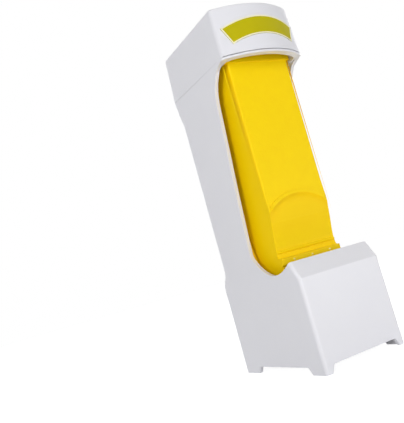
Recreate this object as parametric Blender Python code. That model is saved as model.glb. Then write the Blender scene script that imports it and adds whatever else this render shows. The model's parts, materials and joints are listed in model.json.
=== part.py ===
"""A hand-squeezed butter slicer.

A stick of butter stands in a square chute inside a white housing. Squeezing the yellow handle swings
two bell-crank rockers, which draw a blade plate across the chute's mouth. Letting go lowers two
toothed racks, whose pawls press the follower and the stick down by one pat.

Metres, +Z up, -Y is the front with the handle, and the origin is under the middle of the base.
A REACH is how far a place stands in front of the chute's front wall, and a SETBACK how far behind it.
"""

import math

import bmesh
import bpy
from mathutils import Matrix, Vector

# The stick of butter and the pats cut from it
STICK_SIDE = 0.03175
STICK_LENGTH = 0.121
PAT_THICKNESS = 0.00635

# Clearances, facets and curve steps shared by all pieces
SEAT_GAP = 0.0003
RUN_GAP = 0.0003
PIN_GAP = 0.00015
OVERRUN = 0.001
WELD = 0.0000002
NEAR = 0.0001
ROUND_SIDES = 24
SMALL_SIDES = 14
STUD_SIDES = 16
PIP_SIDES = 10
DISH_SIDES = 60
ARC_STEPS = 4
CORNER_STEPS = 6
EDGE_STEPS = 3
FUNNEL_STEPS = 2
CURVE_STEPS = 9
LINK_STEPS = 9
HEAD_STEPS = 10
LABEL_STEPS = 16
TAB_STEPS = 12
SMOOTH_ANGLE = math.radians(35)

# Colours of the four plastics and of the steel
WHITE = (0.80, 0.80, 0.83)
YELLOW = (0.93, 0.63, 0.01)
NATURAL = (0.78, 0.80, 0.82)
OLIVE = (0.60, 0.50, 0.01)
STEEL_GREY = (0.62, 0.62, 0.63)

# Housing shell
OVERALL_HEIGHT = 0.225
CAP_HEIGHT = 0.0312
SHELL_WALL = 0.0024
SHELL_SIDE_GAP = 0.0024
PARK_GAP = 0.0037
BASE_HEIGHT = 0.0646
BASE_SHOULDER_DROP = 0.0101
BASE_SHOULDER_INSET = 0.0057
BASE_CORNER_RADIUS = 0.0045
BASE_LIP_RADIUS = 0.0008
BASE_BACK_HEIGHT = 0.056
BODY_BACK_INSET = 0.0059
BACK_CORNER_RADIUS = 0.0025
BACK_FLARE_HEIGHT = 0.015
COLLAR_BACK_INSET = 0.0017
COLLAR_FLARE_HEIGHT = 0.0285
COLLAR_LAND = 0.0045

# Window in the front of the body, side view: its leaning edge, its head and its dip
RIM_FOOT_SETBACK = 0.0010
RIM_FOOT_RISE = 0.0109
RIM_HEAD_REACH = 0.0122
RIM_HEAD_DROP = 0.0260
RIM_TOP_REACH = 0.0255
RIM_DIP_REACH = 0.0188
RIM_DIP_DROP = 0.0056
RIM_FALL_PULL_SHARE = 0.3
RIM_RISE_PULL_SHARE = 0.333
RIM_FOOT_LEAN_SHARE = 0.11
RIM_HEAD_LEAN_SHARE = 0.2
RIM_DIP_PULL_SHARE = 0.45
RIM_SILL_PULL_SHARE = 0.35
RIM_HEAD_PULL_SHARE = 0.6
RIM_TOP_PULL_SHARE = 0.3

# Feet: what the arches in the skirt leave standing
SIDE_ARCH_HEIGHT = 0.0043
FRONT_ARCH_HEIGHT = 0.0047
FOOT_FRONT_LENGTH = 0.0127
FOOT_BACK_LENGTH = 0.0165
FOOT_WIDTH = 0.0043
FOOT_ROUND = 0.0012
FOOT_FLARE = 0.0048
SIDE_ARCH_SLANT = 0.0030
FRONT_ARCH_SLANT = 0.0025

# Collar, spigot and pin ears at the top of the housing
COLLAR_HEIGHT = 0.0023
COLLAR_LIP = 0.0019
SPIGOT_HEIGHT = 0.005
SPIGOT_WALL = 0.0016
HOOD_REACH = 0.0288
HOOD_BULGE = 0.0092
HOOD_CORNER_RADIUS = 0.003
HOOD_ARC_STEPS = 14
HOOD_SIDE_STEPS = 2
EAR_THICKNESS = 0.0017
EAR_RADIUS = 0.0055
EAR_FOOT_LENGTH = 0.017
EAR_BOSS_RADIUS = 0.0042

# Cap
CAP_TOP_WALL = 0.0024
CAP_EDGE_ROUND = 0.0009
CAP_DRAFT = 0.0009

# Label band let into the cap's front
LABEL_HALF_WIDTH = 0.0250
LABEL_BAND_HEIGHT = 0.0126
LABEL_MIDDLE_RISE = 0.0162
LABEL_ARCH_RISE = 0.0048
LABEL_POCKET_DEPTH = 0.0008
LABEL_GAP = 0.0002
LABEL_PROUD = 0.00005

# Chute
STICK_CLEARANCE = 0.000525
CHUTE_WALL = 0.0015
CHUTE_FLANGE_THICKNESS = 0.002
CHUTE_FLANGE_SIDE_GAP = 0.0030
CHUTE_FLANGE_SETBACK = 0.0063
CHUTE_FUNNEL = 0.0009
CHUTE_SLOT_LOW = 0.008
CHUTE_SLOT_TOP_GAP = 0.016
CHUTE_SLOT_SETBACK = 0.0116
CHUTE_SLOT_WIDTH = 0.006
NOTCH_SETBACK = 0.0210
NOTCH_WIDTH = 0.005
NOTCH_DEPTH = 0.0009
NOTCH_HEIGHT = 0.0034
GUIDE_RIB_WIDTH = 0.0008
GUIDE_RIB_HEIGHT = 0.012

# Screws and the posts that take them
SCREW_RADIUS = 0.0010
SCREW_HEAD_RADIUS = 0.0017
SCREW_HEAD_HEIGHT = 0.0014
SCREW_CROWN_SHARE = 0.7
SCREW_RIM_SHARE = 0.4
SCREW_LENGTH = 0.0065
SCREW_TIP = 0.0008
POST_WALL = 0.0022
POST_BITE = 0.0006
POST_HEIGHT = 0.012
POST_INSET = 0.0030
POST_SETBACK = 0.0102
BASE_POST_HEIGHT = 0.0085
BASE_POST_SIDE = 0.0047
BASE_BACK_POST_X = 0.010
BASE_BACK_POST_DEPTH = 0.0046

# Handle
HANDLE_WALL = 0.0022
HANDLE_FACE_WALL = 0.0022
HANDLE_GAP = 0.0011
HANDLE_REACH = 0.0225
HANDLE_LEAN = 0.0015
HANDLE_PIVOT_REACH = 0.0103
HANDLE_PIVOT_RISE = 0.0115
HANDLE_HEAD_RADIUS = 0.0062
HANDLE_HEAD_DROP = 0.0010
HANDLE_SHOULDER_LOW = 0.0126
HANDLE_SHOULDER_REACH = 0.0025
HANDLE_SHOULDER_PROUD = 0.0003
HANDLE_SHOULDER_DEPTH = 0.0032
HANDLE_SHOULDER_ROUND = 0.0008
HANDLE_SHOULDER_FIRST = math.radians(125)
HANDLE_BEND_RISE = 0.0334
HANDLE_BEND_PULL_SHARE = 0.333
HANDLE_WAIST_REACH = 0.0166
HANDLE_WAIST_RISE = 0.0060
HANDLE_RIDGE_REACH = 0.0199
HANDLE_RIDGE_RISE = 0.0028
HANDLE_RIDGE_HEIGHT = 0.0038
HANDLE_RIDGE_UNDERCUT = 0.0012
HANDLE_RIDGE_END_ROUND = 0.0006
HANDLE_RIDGE_LAP = 0.0003
HANDLE_RIDGE_HOLLOW_SHARE = 0.75
HANDLE_SKIRT_REACH = 0.0183
HANDLE_SKIRT_LENGTH = 0.0156
HANDLE_SKIRT_BACK_REACH = 0.0023
HANDLE_EDGE_ROUND = 0.0011
HANDLE_LOBE_RADIUS = 0.0060
HANDLE_LOBE_FIRST = math.radians(-60)
HANDLE_LOBE_LAST = math.radians(10)
HANDLE_NECK_LAST = math.radians(60)
HANDLE_BOSS_LENGTH = 0.0045
HANDLE_RIB_WIDTH = 0.0012
HANDLE_RIB_DEPTH = 0.0028
HANDLE_RIB_COUNT = 4
DISH_RADIUS = 0.0335
DISH_RISE = 0.0066
DISH_DEPTH = 0.0011
DISH_BAND_WIDTH = 0.0020
DISH_BAND_HEIGHT = 0.0004
PIP_PITCH = 0.0143
PIP_RADIUS = 0.0007
PIP_HEIGHT = 0.0003
PIP_RISE = 0.0019
PIN_RADIUS = 0.0020
PIN_CHAMFER = 0.0005

# Rockers
ROCKER_GAP = 0.0010
ROCKER_THICKNESS = 0.0020
ROCKER_SETBACK_FROM_MIDDLE = 0.0017
ROCKER_PIN_LOW = 0.020
ROCKER_LENGTH = 0.085
ROCKER_DRIVE_RADIUS = 0.033
ROCKER_LIFT_RADIUS = 0.016
ROCKER_HUB_RADIUS = 0.0052
ROCKER_TIP_RADIUS = 0.0034
ROCKER_PANEL_DEPTH = 0.0008
ROCKER_PANEL_INSET = 0.0013
ROCKER_UPPER_PANEL_SHARES = (0.28, 0.78)
ROCKER_LOWER_PANEL_SHARES = (0.16, 0.84)
STUD_RADIUS = 0.0020
LIFT_STUD_RADIUS = 0.0017
STUD_HEAD_RADIUS = 0.0031
STUD_HEAD_HEIGHT = 0.0004
STUD_SEAT_DEPTH = 0.0010
HUB_BOSS_RADIUS = 0.0046

# Blade and its carriage
BLADE_THICKNESS = 0.0008
BLADE_REACH = 0.0004
BLADE_OVERSHOOT = 0.0002
BLADE_BEVEL = 0.0016
BLADE_LAND = 0.0001
BLADE_GAP = 0.0010
CARRIAGE_WALL = 0.0016
CARRIAGE_RUNNER_WIDTH = 0.0032
CARRIAGE_RUNNER_HEIGHT = 0.0038
CARRIAGE_BAR_DEPTH = 0.0030
FORK_WALL = 0.0020
RIVET_RADIUS = 0.0009
RIVET_LENGTH = 0.0042
RIVET_DOME = 0.0002
RIVET_INSET = 0.0045

# Slide frame in the base
FRAME_THICKNESS = 0.0046
FRAME_GUIDE_WALL = 0.0010
FRAME_GUIDE_HEIGHT = 0.0036
FRAME_FRONT_BAR = 0.0034
FRAME_BACK_BAR = 0.0042

# Feed racks
RACK_GAP = 0.0004
RACK_THICKNESS = 0.0016
RACK_TOOTH_DEPTH = 0.0013
RACK_TOOTH_LEAD_SHARE = 0.12
RACK_TOOTH_FLAT_SHARE = 0.72
RACK_BOTTOM_RISE = 0.010
RACK_LUG_HEIGHT = 0.0085
RACK_LUG_BACK_GAP = 0.0010

# Follower and its pawls
FOLLOWER_CLEARANCE = 0.0004
FOLLOWER_FLOOR = 0.0030
FOLLOWER_WALL = 0.0016
FOLLOWER_HEIGHT = 0.0200
FOLLOWER_CORNER_RADIUS = 0.0009
FOLLOWER_POCKET_DEPTH = 0.0026
FOLLOWER_TAB_HEIGHT = 0.0150
FOLLOWER_TAB_WIDTH = 0.0180
FOLLOWER_TAB_THICKNESS = 0.0024
FOLLOWER_HOLE_RADIUS = 0.0050
PAWL_THICKNESS = 0.0006
PAWL_FOOT_HEIGHT = 0.0030
PAWL_LENGTH = 0.0125
PAWL_SIDE_GAP = 0.0005
PAWL_TIP_GAP = 0.0003

# Return spring, a little above the middle between the handle's two lowest ribs
SPRING_RISE = 0.00204
SPRING_RADIUS = 0.0036
SPRING_WIRE = 0.00045
SPRING_TURNS = 7
SPRING_TURN_POINTS = 9
SPRING_SEAT_RADIUS = 0.0026
SPRING_SEAT_LENGTH = 0.0030

# Half widths, from the stick outwards to the shell
CHUTE_INNER = STICK_SIDE / 2 + STICK_CLEARANCE
CHUTE_OUTER = CHUTE_INNER + CHUTE_WALL
RACK_INNER = CHUTE_OUTER + RACK_GAP
RACK_OUTER = RACK_INNER + RACK_THICKNESS
HANDLE_INNER = RACK_OUTER + HANDLE_GAP
HANDLE_HALF = HANDLE_INNER + HANDLE_WALL
ROCKER_INNER = HANDLE_HALF + ROCKER_GAP
ROCKER_OUTER = ROCKER_INNER + ROCKER_THICKNESS
SHELL_INNER = ROCKER_OUTER + SHELL_SIDE_GAP
SHELL_HALF = SHELL_INNER + SHELL_WALL
FLANGE_HALF = SHELL_INNER - CHUTE_FLANGE_SIDE_GAP
EAR_OUTER = SHELL_INNER - RUN_GAP
POST_X = FLANGE_HALF - POST_INSET

# Half widths of the carriage, which runs below the chute's mouth
CARRIAGE_INNER = CHUTE_INNER + BLADE_GAP - RUN_GAP
FORK_INNER = CARRIAGE_INNER + CARRIAGE_WALL
FORK_OUTER = FORK_INNER + CARRIAGE_RUNNER_WIDTH

# The blade reaches across the chute's wall and bore, and parks in front of them
BLADE_TRAVEL = BLADE_REACH + CHUTE_WALL + 2 * CHUTE_INNER + BLADE_OVERSHOOT
BLADE_DEPTH = BLADE_TRAVEL - BLADE_REACH

# Depths, front to back: the base holds the parked blade and the chute
BODY_DEPTH = SHELL_WALL + PARK_GAP + BLADE_DEPTH + BLADE_REACH + 2 * CHUTE_OUTER + SEAT_GAP + SHELL_WALL
BASE_DEPTH = BODY_DEPTH + BODY_BACK_INSET
BASE_HALF = BASE_DEPTH / 2
BASE_INNER = BASE_HALF - SHELL_WALL
BODY_BACK = BASE_HALF - BODY_BACK_INSET
BODY_BACK_INNER = BODY_BACK - SHELL_WALL
COLLAR_BACK = BASE_HALF - COLLAR_BACK_INSET
CHUTE_BACK = BODY_BACK_INNER - SEAT_GAP
CHUTE_FRONT = CHUTE_BACK - 2 * CHUTE_OUTER
CHUTE_MIDDLE = (CHUTE_BACK + CHUTE_FRONT) / 2
CHUTE_SLOT_FRONT = CHUTE_FRONT + CHUTE_SLOT_SETBACK
NOTCH_FRONT = CHUTE_FRONT + NOTCH_SETBACK
RACK_FRONT = CHUTE_SLOT_FRONT + RUN_GAP
RACK_WIDTH = CHUTE_SLOT_WIDTH - 2 * RUN_GAP
BLADE_EDGE_Y = CHUTE_FRONT - BLADE_REACH
RIM_TOP_Y = CHUTE_FRONT - RIM_TOP_REACH
HANDLE_FACE_Y = CHUTE_FRONT - HANDLE_REACH
HANDLE_WAIST_Y = CHUTE_FRONT - HANDLE_WAIST_REACH
HANDLE_RIDGE_Y = CHUTE_FRONT - HANDLE_RIDGE_REACH
HANDLE_SKIRT_Y = CHUTE_FRONT - HANDLE_SKIRT_REACH
POST_FRONT_Y = CHUTE_FRONT + POST_SETBACK
POST_BACK_Y = CHUTE_BACK - SCREW_RADIUS - POST_WALL

# Swing of the rockers, which the travel of the blade sets
ROCKER_HALF_SWING = math.asin(BLADE_TRAVEL / (2 * ROCKER_LENGTH))

# Heights, from the foot up
ROCKER_PIVOT_Z = ROCKER_PIN_LOW + ROCKER_LENGTH
PIN_HIGH = ROCKER_PIVOT_Z - ROCKER_LENGTH * math.cos(ROCKER_HALF_SWING)
RUNNER_TOP = ROCKER_PIN_LOW - STUD_RADIUS - RUN_GAP
RUNNER_BOTTOM = RUNNER_TOP - CARRIAGE_RUNNER_HEIGHT
FRAME_TOP = RUNNER_BOTTOM - RUN_GAP
FRAME_BOTTOM = FRAME_TOP - FRAME_THICKNESS
FORK_TOP = PIN_HIGH + STUD_RADIUS + RUN_GAP
CHUTE_BOTTOM = FORK_TOP + RUN_GAP
BLADE_TOP = CHUTE_BOTTOM - BLADE_GAP
BLADE_BOTTOM = BLADE_TOP - BLADE_THICKNESS
CARRIAGE_TOP = BLADE_BOTTOM - SEAT_GAP
BODY_TOP = OVERALL_HEIGHT - CAP_HEIGHT - SEAT_GAP
CAP_BOTTOM = OVERALL_HEIGHT - CAP_HEIGHT
COLLAR_BOTTOM = BODY_TOP - COLLAR_HEIGHT
BASE_SHOULDER_Z = BASE_HEIGHT - BASE_SHOULDER_DROP
FLANGE_TOP = COLLAR_BOTTOM - SEAT_GAP
FLANGE_BOTTOM = FLANGE_TOP - CHUTE_FLANGE_THICKNESS
POST_TOP = FLANGE_BOTTOM - SEAT_GAP
HANDLE_BEND_Z = BASE_HEIGHT + HANDLE_BEND_RISE
HANDLE_WAIST_Z = BASE_HEIGHT + HANDLE_WAIST_RISE
HANDLE_RIDGE_Z = BASE_HEIGHT + HANDLE_RIDGE_RISE
HANDLE_RIDGE_BOTTOM = HANDLE_RIDGE_Z - HANDLE_RIDGE_HEIGHT
HANDLE_SKIRT_Z = BASE_HEIGHT - HANDLE_SKIRT_LENGTH
DISH_CENTRE_Z = BASE_HEIGHT + DISH_RISE
HANDLE_RIB_PITCH = (COLLAR_BOTTOM - HANDLE_BEND_Z) / (HANDLE_RIB_COUNT + 1)
SPRING_Z = HANDLE_BEND_Z + HANDLE_RIB_PITCH + HANDLE_RIB_PITCH / 2 + SPRING_RISE
HANDLE_PIVOT = (CHUTE_FRONT - HANDLE_PIVOT_REACH, BODY_TOP + HANDLE_PIVOT_RISE)
ROCKER_PIVOT = (CHUTE_MIDDLE - ROCKER_SETBACK_FROM_MIDDLE, ROCKER_PIVOT_Z)
FOLLOWER_BOTTOM = CHUTE_BOTTOM + STICK_LENGTH

# Front of the cap and collar: one arc about a vertical axis
HOOD_RADIUS = (SHELL_HALF**2 + HOOD_BULGE**2) / (2 * HOOD_BULGE)
HOOD_AXIS_Y = CHUTE_FRONT - HOOD_REACH - HOOD_BULGE + HOOD_RADIUS
HOOD_SPREAD = math.asin(SHELL_HALF / HOOD_RADIUS)


def turned(point, centre, angle):
    """A (y, z) point swung about centre; a positive angle carries what hangs below towards +Y."""
    y = point[0] - centre[0]
    z = point[1] - centre[1]
    return (
        centre[0] + y * math.cos(angle) - z * math.sin(angle),
        centre[1] + y * math.sin(angle) + z * math.cos(angle),
    )


def rocker_point(forward, down, angle):
    """A place on a rocker, given at mid swing, once the rocker is turned by angle."""
    return turned((ROCKER_PIVOT[0] + forward, ROCKER_PIVOT[1] - down), ROCKER_PIVOT, angle)


TIP_STUD = rocker_point(0, ROCKER_LENGTH, -ROCKER_HALF_SWING)
DRIVE_STUD = rocker_point(0, ROCKER_DRIVE_RADIUS, -ROCKER_HALF_SWING)
DRIVE_STUD_END = rocker_point(0, ROCKER_DRIVE_RADIUS, ROCKER_HALF_SWING)
LIFT_STUD = rocker_point(ROCKER_LIFT_RADIUS, 0, -ROCKER_HALF_SWING)
RACK_TRAVEL = 2 * ROCKER_LIFT_RADIUS * math.sin(ROCKER_HALF_SWING)


def bezier(start, pull_start, pull_end, end, steps=CURVE_STEPS):
    """Points of a cubic curve from start up to, but without, end."""
    points = []
    for step in range(steps):
        t = step / steps
        weights = ((1 - t) ** 3, 3 * t * (1 - t) ** 2, 3 * t * t * (1 - t), t**3)
        corners = (start, pull_start, pull_end, end)
        points.append(tuple(sum(w * c[i] for w, c in zip(weights, corners)) for i in (0, 1)))
    return points


def arc(centre, radius, first, last, steps):
    """Points of a circular arc, both ends included."""
    points = []
    for step in range(steps + 1):
        angle = first + (last - first) * step / steps
        points.append((centre[0] + radius * math.cos(angle), centre[1] + radius * math.sin(angle)))
    return points


def circle(centre, radius, sides=ROUND_SIDES):
    return arc(centre, radius, 0, math.tau * (sides - 1) / sides, sides - 1)


def rectangle(low, high):
    return [(low[0], low[1]), (high[0], low[1]), (high[0], high[1]), (low[0], high[1])]


def filleted(outline, radii):
    """The outline with some corners, given as index: radius, made round."""
    points = []
    for index, corner in enumerate(outline):
        radius = radii.get(index % len(outline), 0)
        if not radius:
            points.append(corner)
            continue
        here = Vector(corner)
        before = (Vector(outline[index - 1]) - here).normalized()
        after = (Vector(outline[(index + 1) % len(outline)]) - here).normalized()
        half = before.angle(after) / 2
        centre = here + (before + after).normalized() * (radius / math.sin(half))
        first = here + before * (radius / math.tan(half)) - centre
        last = here + after * (radius / math.tan(half)) - centre
        sweep = math.atan2(first.x * last.y - first.y * last.x, first.dot(last))
        start = math.atan2(first.y, first.x)
        points += arc(centre, radius, start, start + sweep, ARC_STEPS)
    return points


def link(first, first_radius, last, last_radius):
    """Outline of a tapered bar with round ends."""
    axis = Vector(last) - Vector(first)
    heading = math.atan2(axis.y, axis.x)
    spread = math.acos((first_radius - last_radius) / axis.length)
    points = arc(last, last_radius, heading - spread, heading + spread, LINK_STEPS)
    points += arc(first, first_radius, heading + spread, heading - spread + math.tau, LINK_STEPS)
    return points


def hood_arc(inset, spread, steps):
    """Points of the arched front, drawn in by inset, from left to right."""
    front = -math.pi / 2
    return arc((0, HOOD_AXIS_Y), HOOD_RADIUS - inset, front - spread, front + spread, steps)


def hood_plan(inset):
    """Plan outline of the cap and collar: flat back and sides, arched front, round corners."""
    half = SHELL_HALF - inset
    front = hood_arc(inset, math.asin(half / (HOOD_RADIUS - inset)), HOOD_ARC_STEPS)
    back = COLLAR_BACK - inset
    outline = front + [(half, back), (-half, back)]
    front_corner = max(HOOD_CORNER_RADIUS - inset, SPIGOT_WALL / 2)
    back_corner = max(BACK_CORNER_RADIUS - inset, SPIGOT_WALL / 2)
    radii = {0: front_corner, len(front) - 1: front_corner}
    radii.update({len(front): back_corner, len(front) + 1: back_corner})
    return filleted(outline, radii)


def hood_front(back):
    """Plan outline of the arched front alone, as deep as back."""
    front = hood_arc(0, HOOD_SPREAD, HOOD_ARC_STEPS)
    outline = front + [(SHELL_HALF, back), (-SHELL_HALF, back)]
    return filleted(outline, {0: HOOD_CORNER_RADIUS, len(front) - 1: HOOD_CORNER_RADIUS})


def hood_sector(low_inset, high_inset):
    """Plan outline of a curved slab that follows the arched front between two depths."""
    steps = HOOD_ARC_STEPS + 2 * HOOD_SIDE_STEPS
    spread = HOOD_SPREAD * steps / HOOD_ARC_STEPS
    return hood_arc(low_inset, spread, steps) + hood_arc(high_inset, spread, steps)[::-1]


def prism(name, outline, axis, low, high):
    """A closed outline swept straight along X, Y or Z, from low to high."""
    place = {
        "X": lambda u, v, w: (w, u, v),
        "Y": lambda u, v, w: (u, w, v),
        "Z": lambda u, v, w: (u, v, w),
    }[axis]
    shape = bmesh.new()
    face = shape.faces.new([shape.verts.new(place(u, v, low)) for u, v in outline])
    swept = bmesh.ops.extrude_face_region(shape, geom=[face])
    tops = [item for item in swept["geom"] if isinstance(item, bmesh.types.BMVert)]
    bmesh.ops.translate(shape, verts=tops, vec=Vector(place(0, 0, high)) - Vector(place(0, 0, low)))
    bmesh.ops.recalc_face_normals(shape, faces=shape.faces)
    return solid(name, shape)


def solid(name, shape):
    mesh = bpy.data.meshes.new(name)
    shape.to_mesh(mesh)
    shape.free()
    piece = bpy.data.objects.new(name, mesh)
    bpy.context.scene.collection.objects.link(piece)
    return piece


def block(name, low, high):
    """A box between two corners, given in any order along each axis."""
    x, y, z = (sorted(pair) for pair in zip(low, high))
    return prism(name, rectangle((x[0], y[0]), (x[1], y[1])), "Z", z[0], z[1])


def rod(name, centre, radius, axis, low, high, sides=ROUND_SIDES):
    """A round bar between two places along an axis, given in any order."""
    return prism(name, circle(centre, radius, sides), axis, min(low, high), max(low, high))


def turned_piece(name, profile, centre, axis, sides=ROUND_SIDES):
    """A closed profile of (radius, height) points, from axis to axis, spun about a line through centre."""
    shape = bmesh.new()
    rings = []
    for radius, height in profile:
        if radius == 0:
            rings.append([shape.verts.new((0, 0, height))])
            continue
        rings.append([shape.verts.new((u, v, height)) for u, v in circle((0, 0), radius, sides)])
    for lower, upper in zip(rings, rings[1:]):
        for side in range(sides):
            corners = [lower[side % len(lower)], lower[(side + 1) % len(lower)]]
            corners += [upper[(side + 1) % len(upper)], upper[side % len(upper)]]
            shape.faces.new(list(dict.fromkeys(corners)))
    bmesh.ops.recalc_face_normals(shape, faces=shape.faces)
    turn = {
        "X": Matrix.Rotation(math.pi / 2, 4, "Y"),
        "Y": Matrix.Rotation(-math.pi / 2, 4, "X"),
        "Z": Matrix.Identity(4),
    }[axis]
    shape.transform(Matrix.Translation(centre) @ turn)
    return solid(name, shape)


def combine(piece, tools, operation):
    """The piece after a Boolean with each tool, which is used up; faces with holes become triangles."""
    for tool in tools:
        modifier = piece.modifiers.new(tool.name, "BOOLEAN")
        modifier.operation = operation
        modifier.object = tool
        bpy.context.view_layer.update()
        graph = bpy.context.evaluated_depsgraph_get()
        mesh = bpy.data.meshes.new_from_object(piece.evaluated_get(graph))
        piece.modifiers.clear()
        piece.data = mesh
        mesh.name = piece.name
        bpy.data.objects.remove(tool)
        shape = bmesh.new()
        shape.from_mesh(mesh)
        bmesh.ops.remove_doubles(shape, verts=shape.verts, dist=WELD)
        bmesh.ops.triangulate(shape, faces=[face for face in shape.faces if len(face.verts) > 4])
        shape.to_mesh(mesh)
        shape.free()
    return piece


def add(piece, *tools):
    return combine(piece, tools, "UNION")


def cut(piece, *tools):
    return combine(piece, tools, "DIFFERENCE")


def keep(piece, tool):
    return combine(piece, [tool], "INTERSECT")


def round_edges(piece, radius, wanted, segments=ARC_STEPS):
    """Rounds the edges for which wanted(one end, other end) is true."""
    shape = bmesh.new()
    shape.from_mesh(piece.data)
    edges = [edge for edge in shape.edges if wanted(edge.verts[0].co, edge.verts[1].co)]
    bmesh.ops.bevel(
        shape,
        geom=edges,
        offset=radius,
        offset_type="OFFSET",
        segments=segments,
        profile=0.5,
        affect="EDGES",
        clamp_overlap=True,
    )
    shape.to_mesh(piece.data)
    shape.free()
    return piece


def drafted(piece):
    """Narrows a piece of the cap evenly towards its top, as its mould does."""
    for vertex in piece.data.vertices:
        share = 1 - CAP_DRAFT / SHELL_HALF * (vertex.co.z - CAP_BOTTOM) / CAP_HEIGHT
        vertex.co.x *= share
        vertex.co.y *= share
    return piece


def near(value, target):
    return abs(value - target) < NEAR


def upright(a, b):
    return abs(a.z - b.z) > NEAR


def finish(piece, colour, roughness, metallic=0.0):
    """One Principled material of the piece's own, and smooth shading up to its sharp edges."""
    material = bpy.data.materials.new(piece.name)
    material.use_nodes = True
    shader = material.node_tree.nodes["Principled BSDF"]
    shader.inputs["Base Color"].default_value = (*colour, 1.0)
    shader.inputs["Roughness"].default_value = roughness
    shader.inputs["Metallic"].default_value = metallic
    piece.data.materials.clear()
    piece.data.materials.append(material)
    piece.data.shade_smooth()
    piece.data.set_sharp_from_angle(angle=SMOOTH_ANGLE)
    return piece


def white_plastic(piece):
    return finish(piece, WHITE, 0.35)


def yellow_plastic(piece):
    return finish(piece, YELLOW, 0.42)


def clear_plastic(piece):
    return finish(piece, NATURAL, 0.25)


def steel(piece):
    return finish(piece, STEEL_GREY, 0.25, 1.0)


def hinge_empty(name, place):
    empty = bpy.data.objects.new(name, None)
    empty.location = place
    bpy.context.scene.collection.objects.link(empty)
    return empty


def hang(piece, empty):
    """Parents the piece to the empty and moves its origin there, with its shape where it was."""
    piece.data.transform(Matrix.Translation(-empty.location))
    piece.parent = empty
    return piece


def rim_curve():
    """The window's side edge from the base's front lip, down the dip and up to the collar."""
    front = (-BASE_HALF + BASE_SHOULDER_INSET, BASE_HEIGHT)
    dip = (CHUTE_FRONT - RIM_DIP_REACH, BASE_HEIGHT - RIM_DIP_DROP)
    foot = (CHUTE_FRONT + RIM_FOOT_SETBACK, BASE_HEIGHT + RIM_FOOT_RISE)
    head = (CHUTE_FRONT - RIM_HEAD_REACH, BODY_TOP - RIM_HEAD_DROP)
    top = (RIM_TOP_Y, COLLAR_BOTTOM)
    sill_pull = (dip[0] - front[0]) * RIM_SILL_PULL_SHARE
    dip_pull = (foot[0] - dip[0]) * RIM_DIP_PULL_SHARE
    fall = (foot[1] - dip[1]) * RIM_FALL_PULL_SHARE
    rise = (head[1] - foot[1]) * RIM_RISE_PULL_SHARE
    climb = (top[1] - head[1]) * RIM_HEAD_PULL_SHARE
    points = bezier(
        front,
        (front[0] + sill_pull, front[1] - RIM_DIP_DROP * 2 * RIM_SILL_PULL_SHARE),
        (dip[0] - sill_pull, dip[1]),
        dip,
    )
    points += bezier(
        dip,
        (dip[0] + dip_pull, dip[1]),
        (foot[0] + RIM_FOOT_LEAN_SHARE * fall, foot[1] - fall),
        foot,
    )
    points += bezier(
        foot,
        (foot[0] - RIM_FOOT_LEAN_SHARE * rise, foot[1] + rise),
        (head[0] + RIM_HEAD_LEAN_SHARE * rise, head[1] - rise),
        head,
    )
    points += bezier(
        head,
        (head[0] - RIM_HEAD_LEAN_SHARE * climb, head[1] + climb),
        (top[0] + (head[0] - top[0]) * RIM_TOP_PULL_SHARE, top[1] - (top[1] - head[1]) * RIM_TOP_PULL_SHARE),
        top,
    )
    return points + [top]


def back_curve(base_back, body_back, collar_back, top):
    """The back of the shell from the base's flare up to the collar's, bottom to top."""
    flare_top = BASE_BACK_HEIGHT + BACK_FLARE_HEIGHT
    middle = BASE_BACK_HEIGHT + BACK_FLARE_HEIGHT / 2
    collar_foot = BODY_TOP - COLLAR_FLARE_HEIGHT
    collar_head = BODY_TOP - COLLAR_LAND
    waist = (collar_foot + collar_head) / 2
    base = (base_back, BASE_BACK_HEIGHT)
    body = (body_back, flare_top)
    shoulder = (body_back, collar_foot)
    collar = (collar_back, collar_head)
    points = bezier(base, (base_back, middle), (body_back, middle), body)
    points += [body]
    points += bezier(shoulder, (body_back, waist), (collar_back, waist), collar)
    return points + [collar, (collar_back, top)]


def shell_outline():
    """Side view of the housing's outside, counted from the back of the foot."""
    outline = [(BASE_HALF, 0)]
    outline += back_curve(BASE_HALF, BODY_BACK, COLLAR_BACK, BODY_TOP)
    outline += [(RIM_TOP_Y, BODY_TOP)]
    outline += rim_curve()[::-1]
    outline += [(-BASE_HALF, BASE_SHOULDER_Z), (-BASE_HALF, 0)]
    return outline


def cavity_outline():
    """Side view of the housing's inside, which runs out through the window and the foot."""
    below = -OVERRUN
    above = BASE_HEIGHT + OVERRUN
    collar_back = COLLAR_BACK - SHELL_WALL
    outline = [(BASE_INNER, below)]
    outline += back_curve(BASE_INNER, BODY_BACK_INNER, collar_back, COLLAR_BOTTOM)[:-1]
    outline += [(collar_back, COLLAR_BOTTOM), (-BASE_DEPTH, COLLAR_BOTTOM), (-BASE_DEPTH, above)]
    outline += [(-BASE_INNER + BASE_SHOULDER_INSET, above), (-BASE_INNER, BASE_SHOULDER_Z)]
    outline += [(-BASE_INNER, below)]
    return outline


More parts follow.
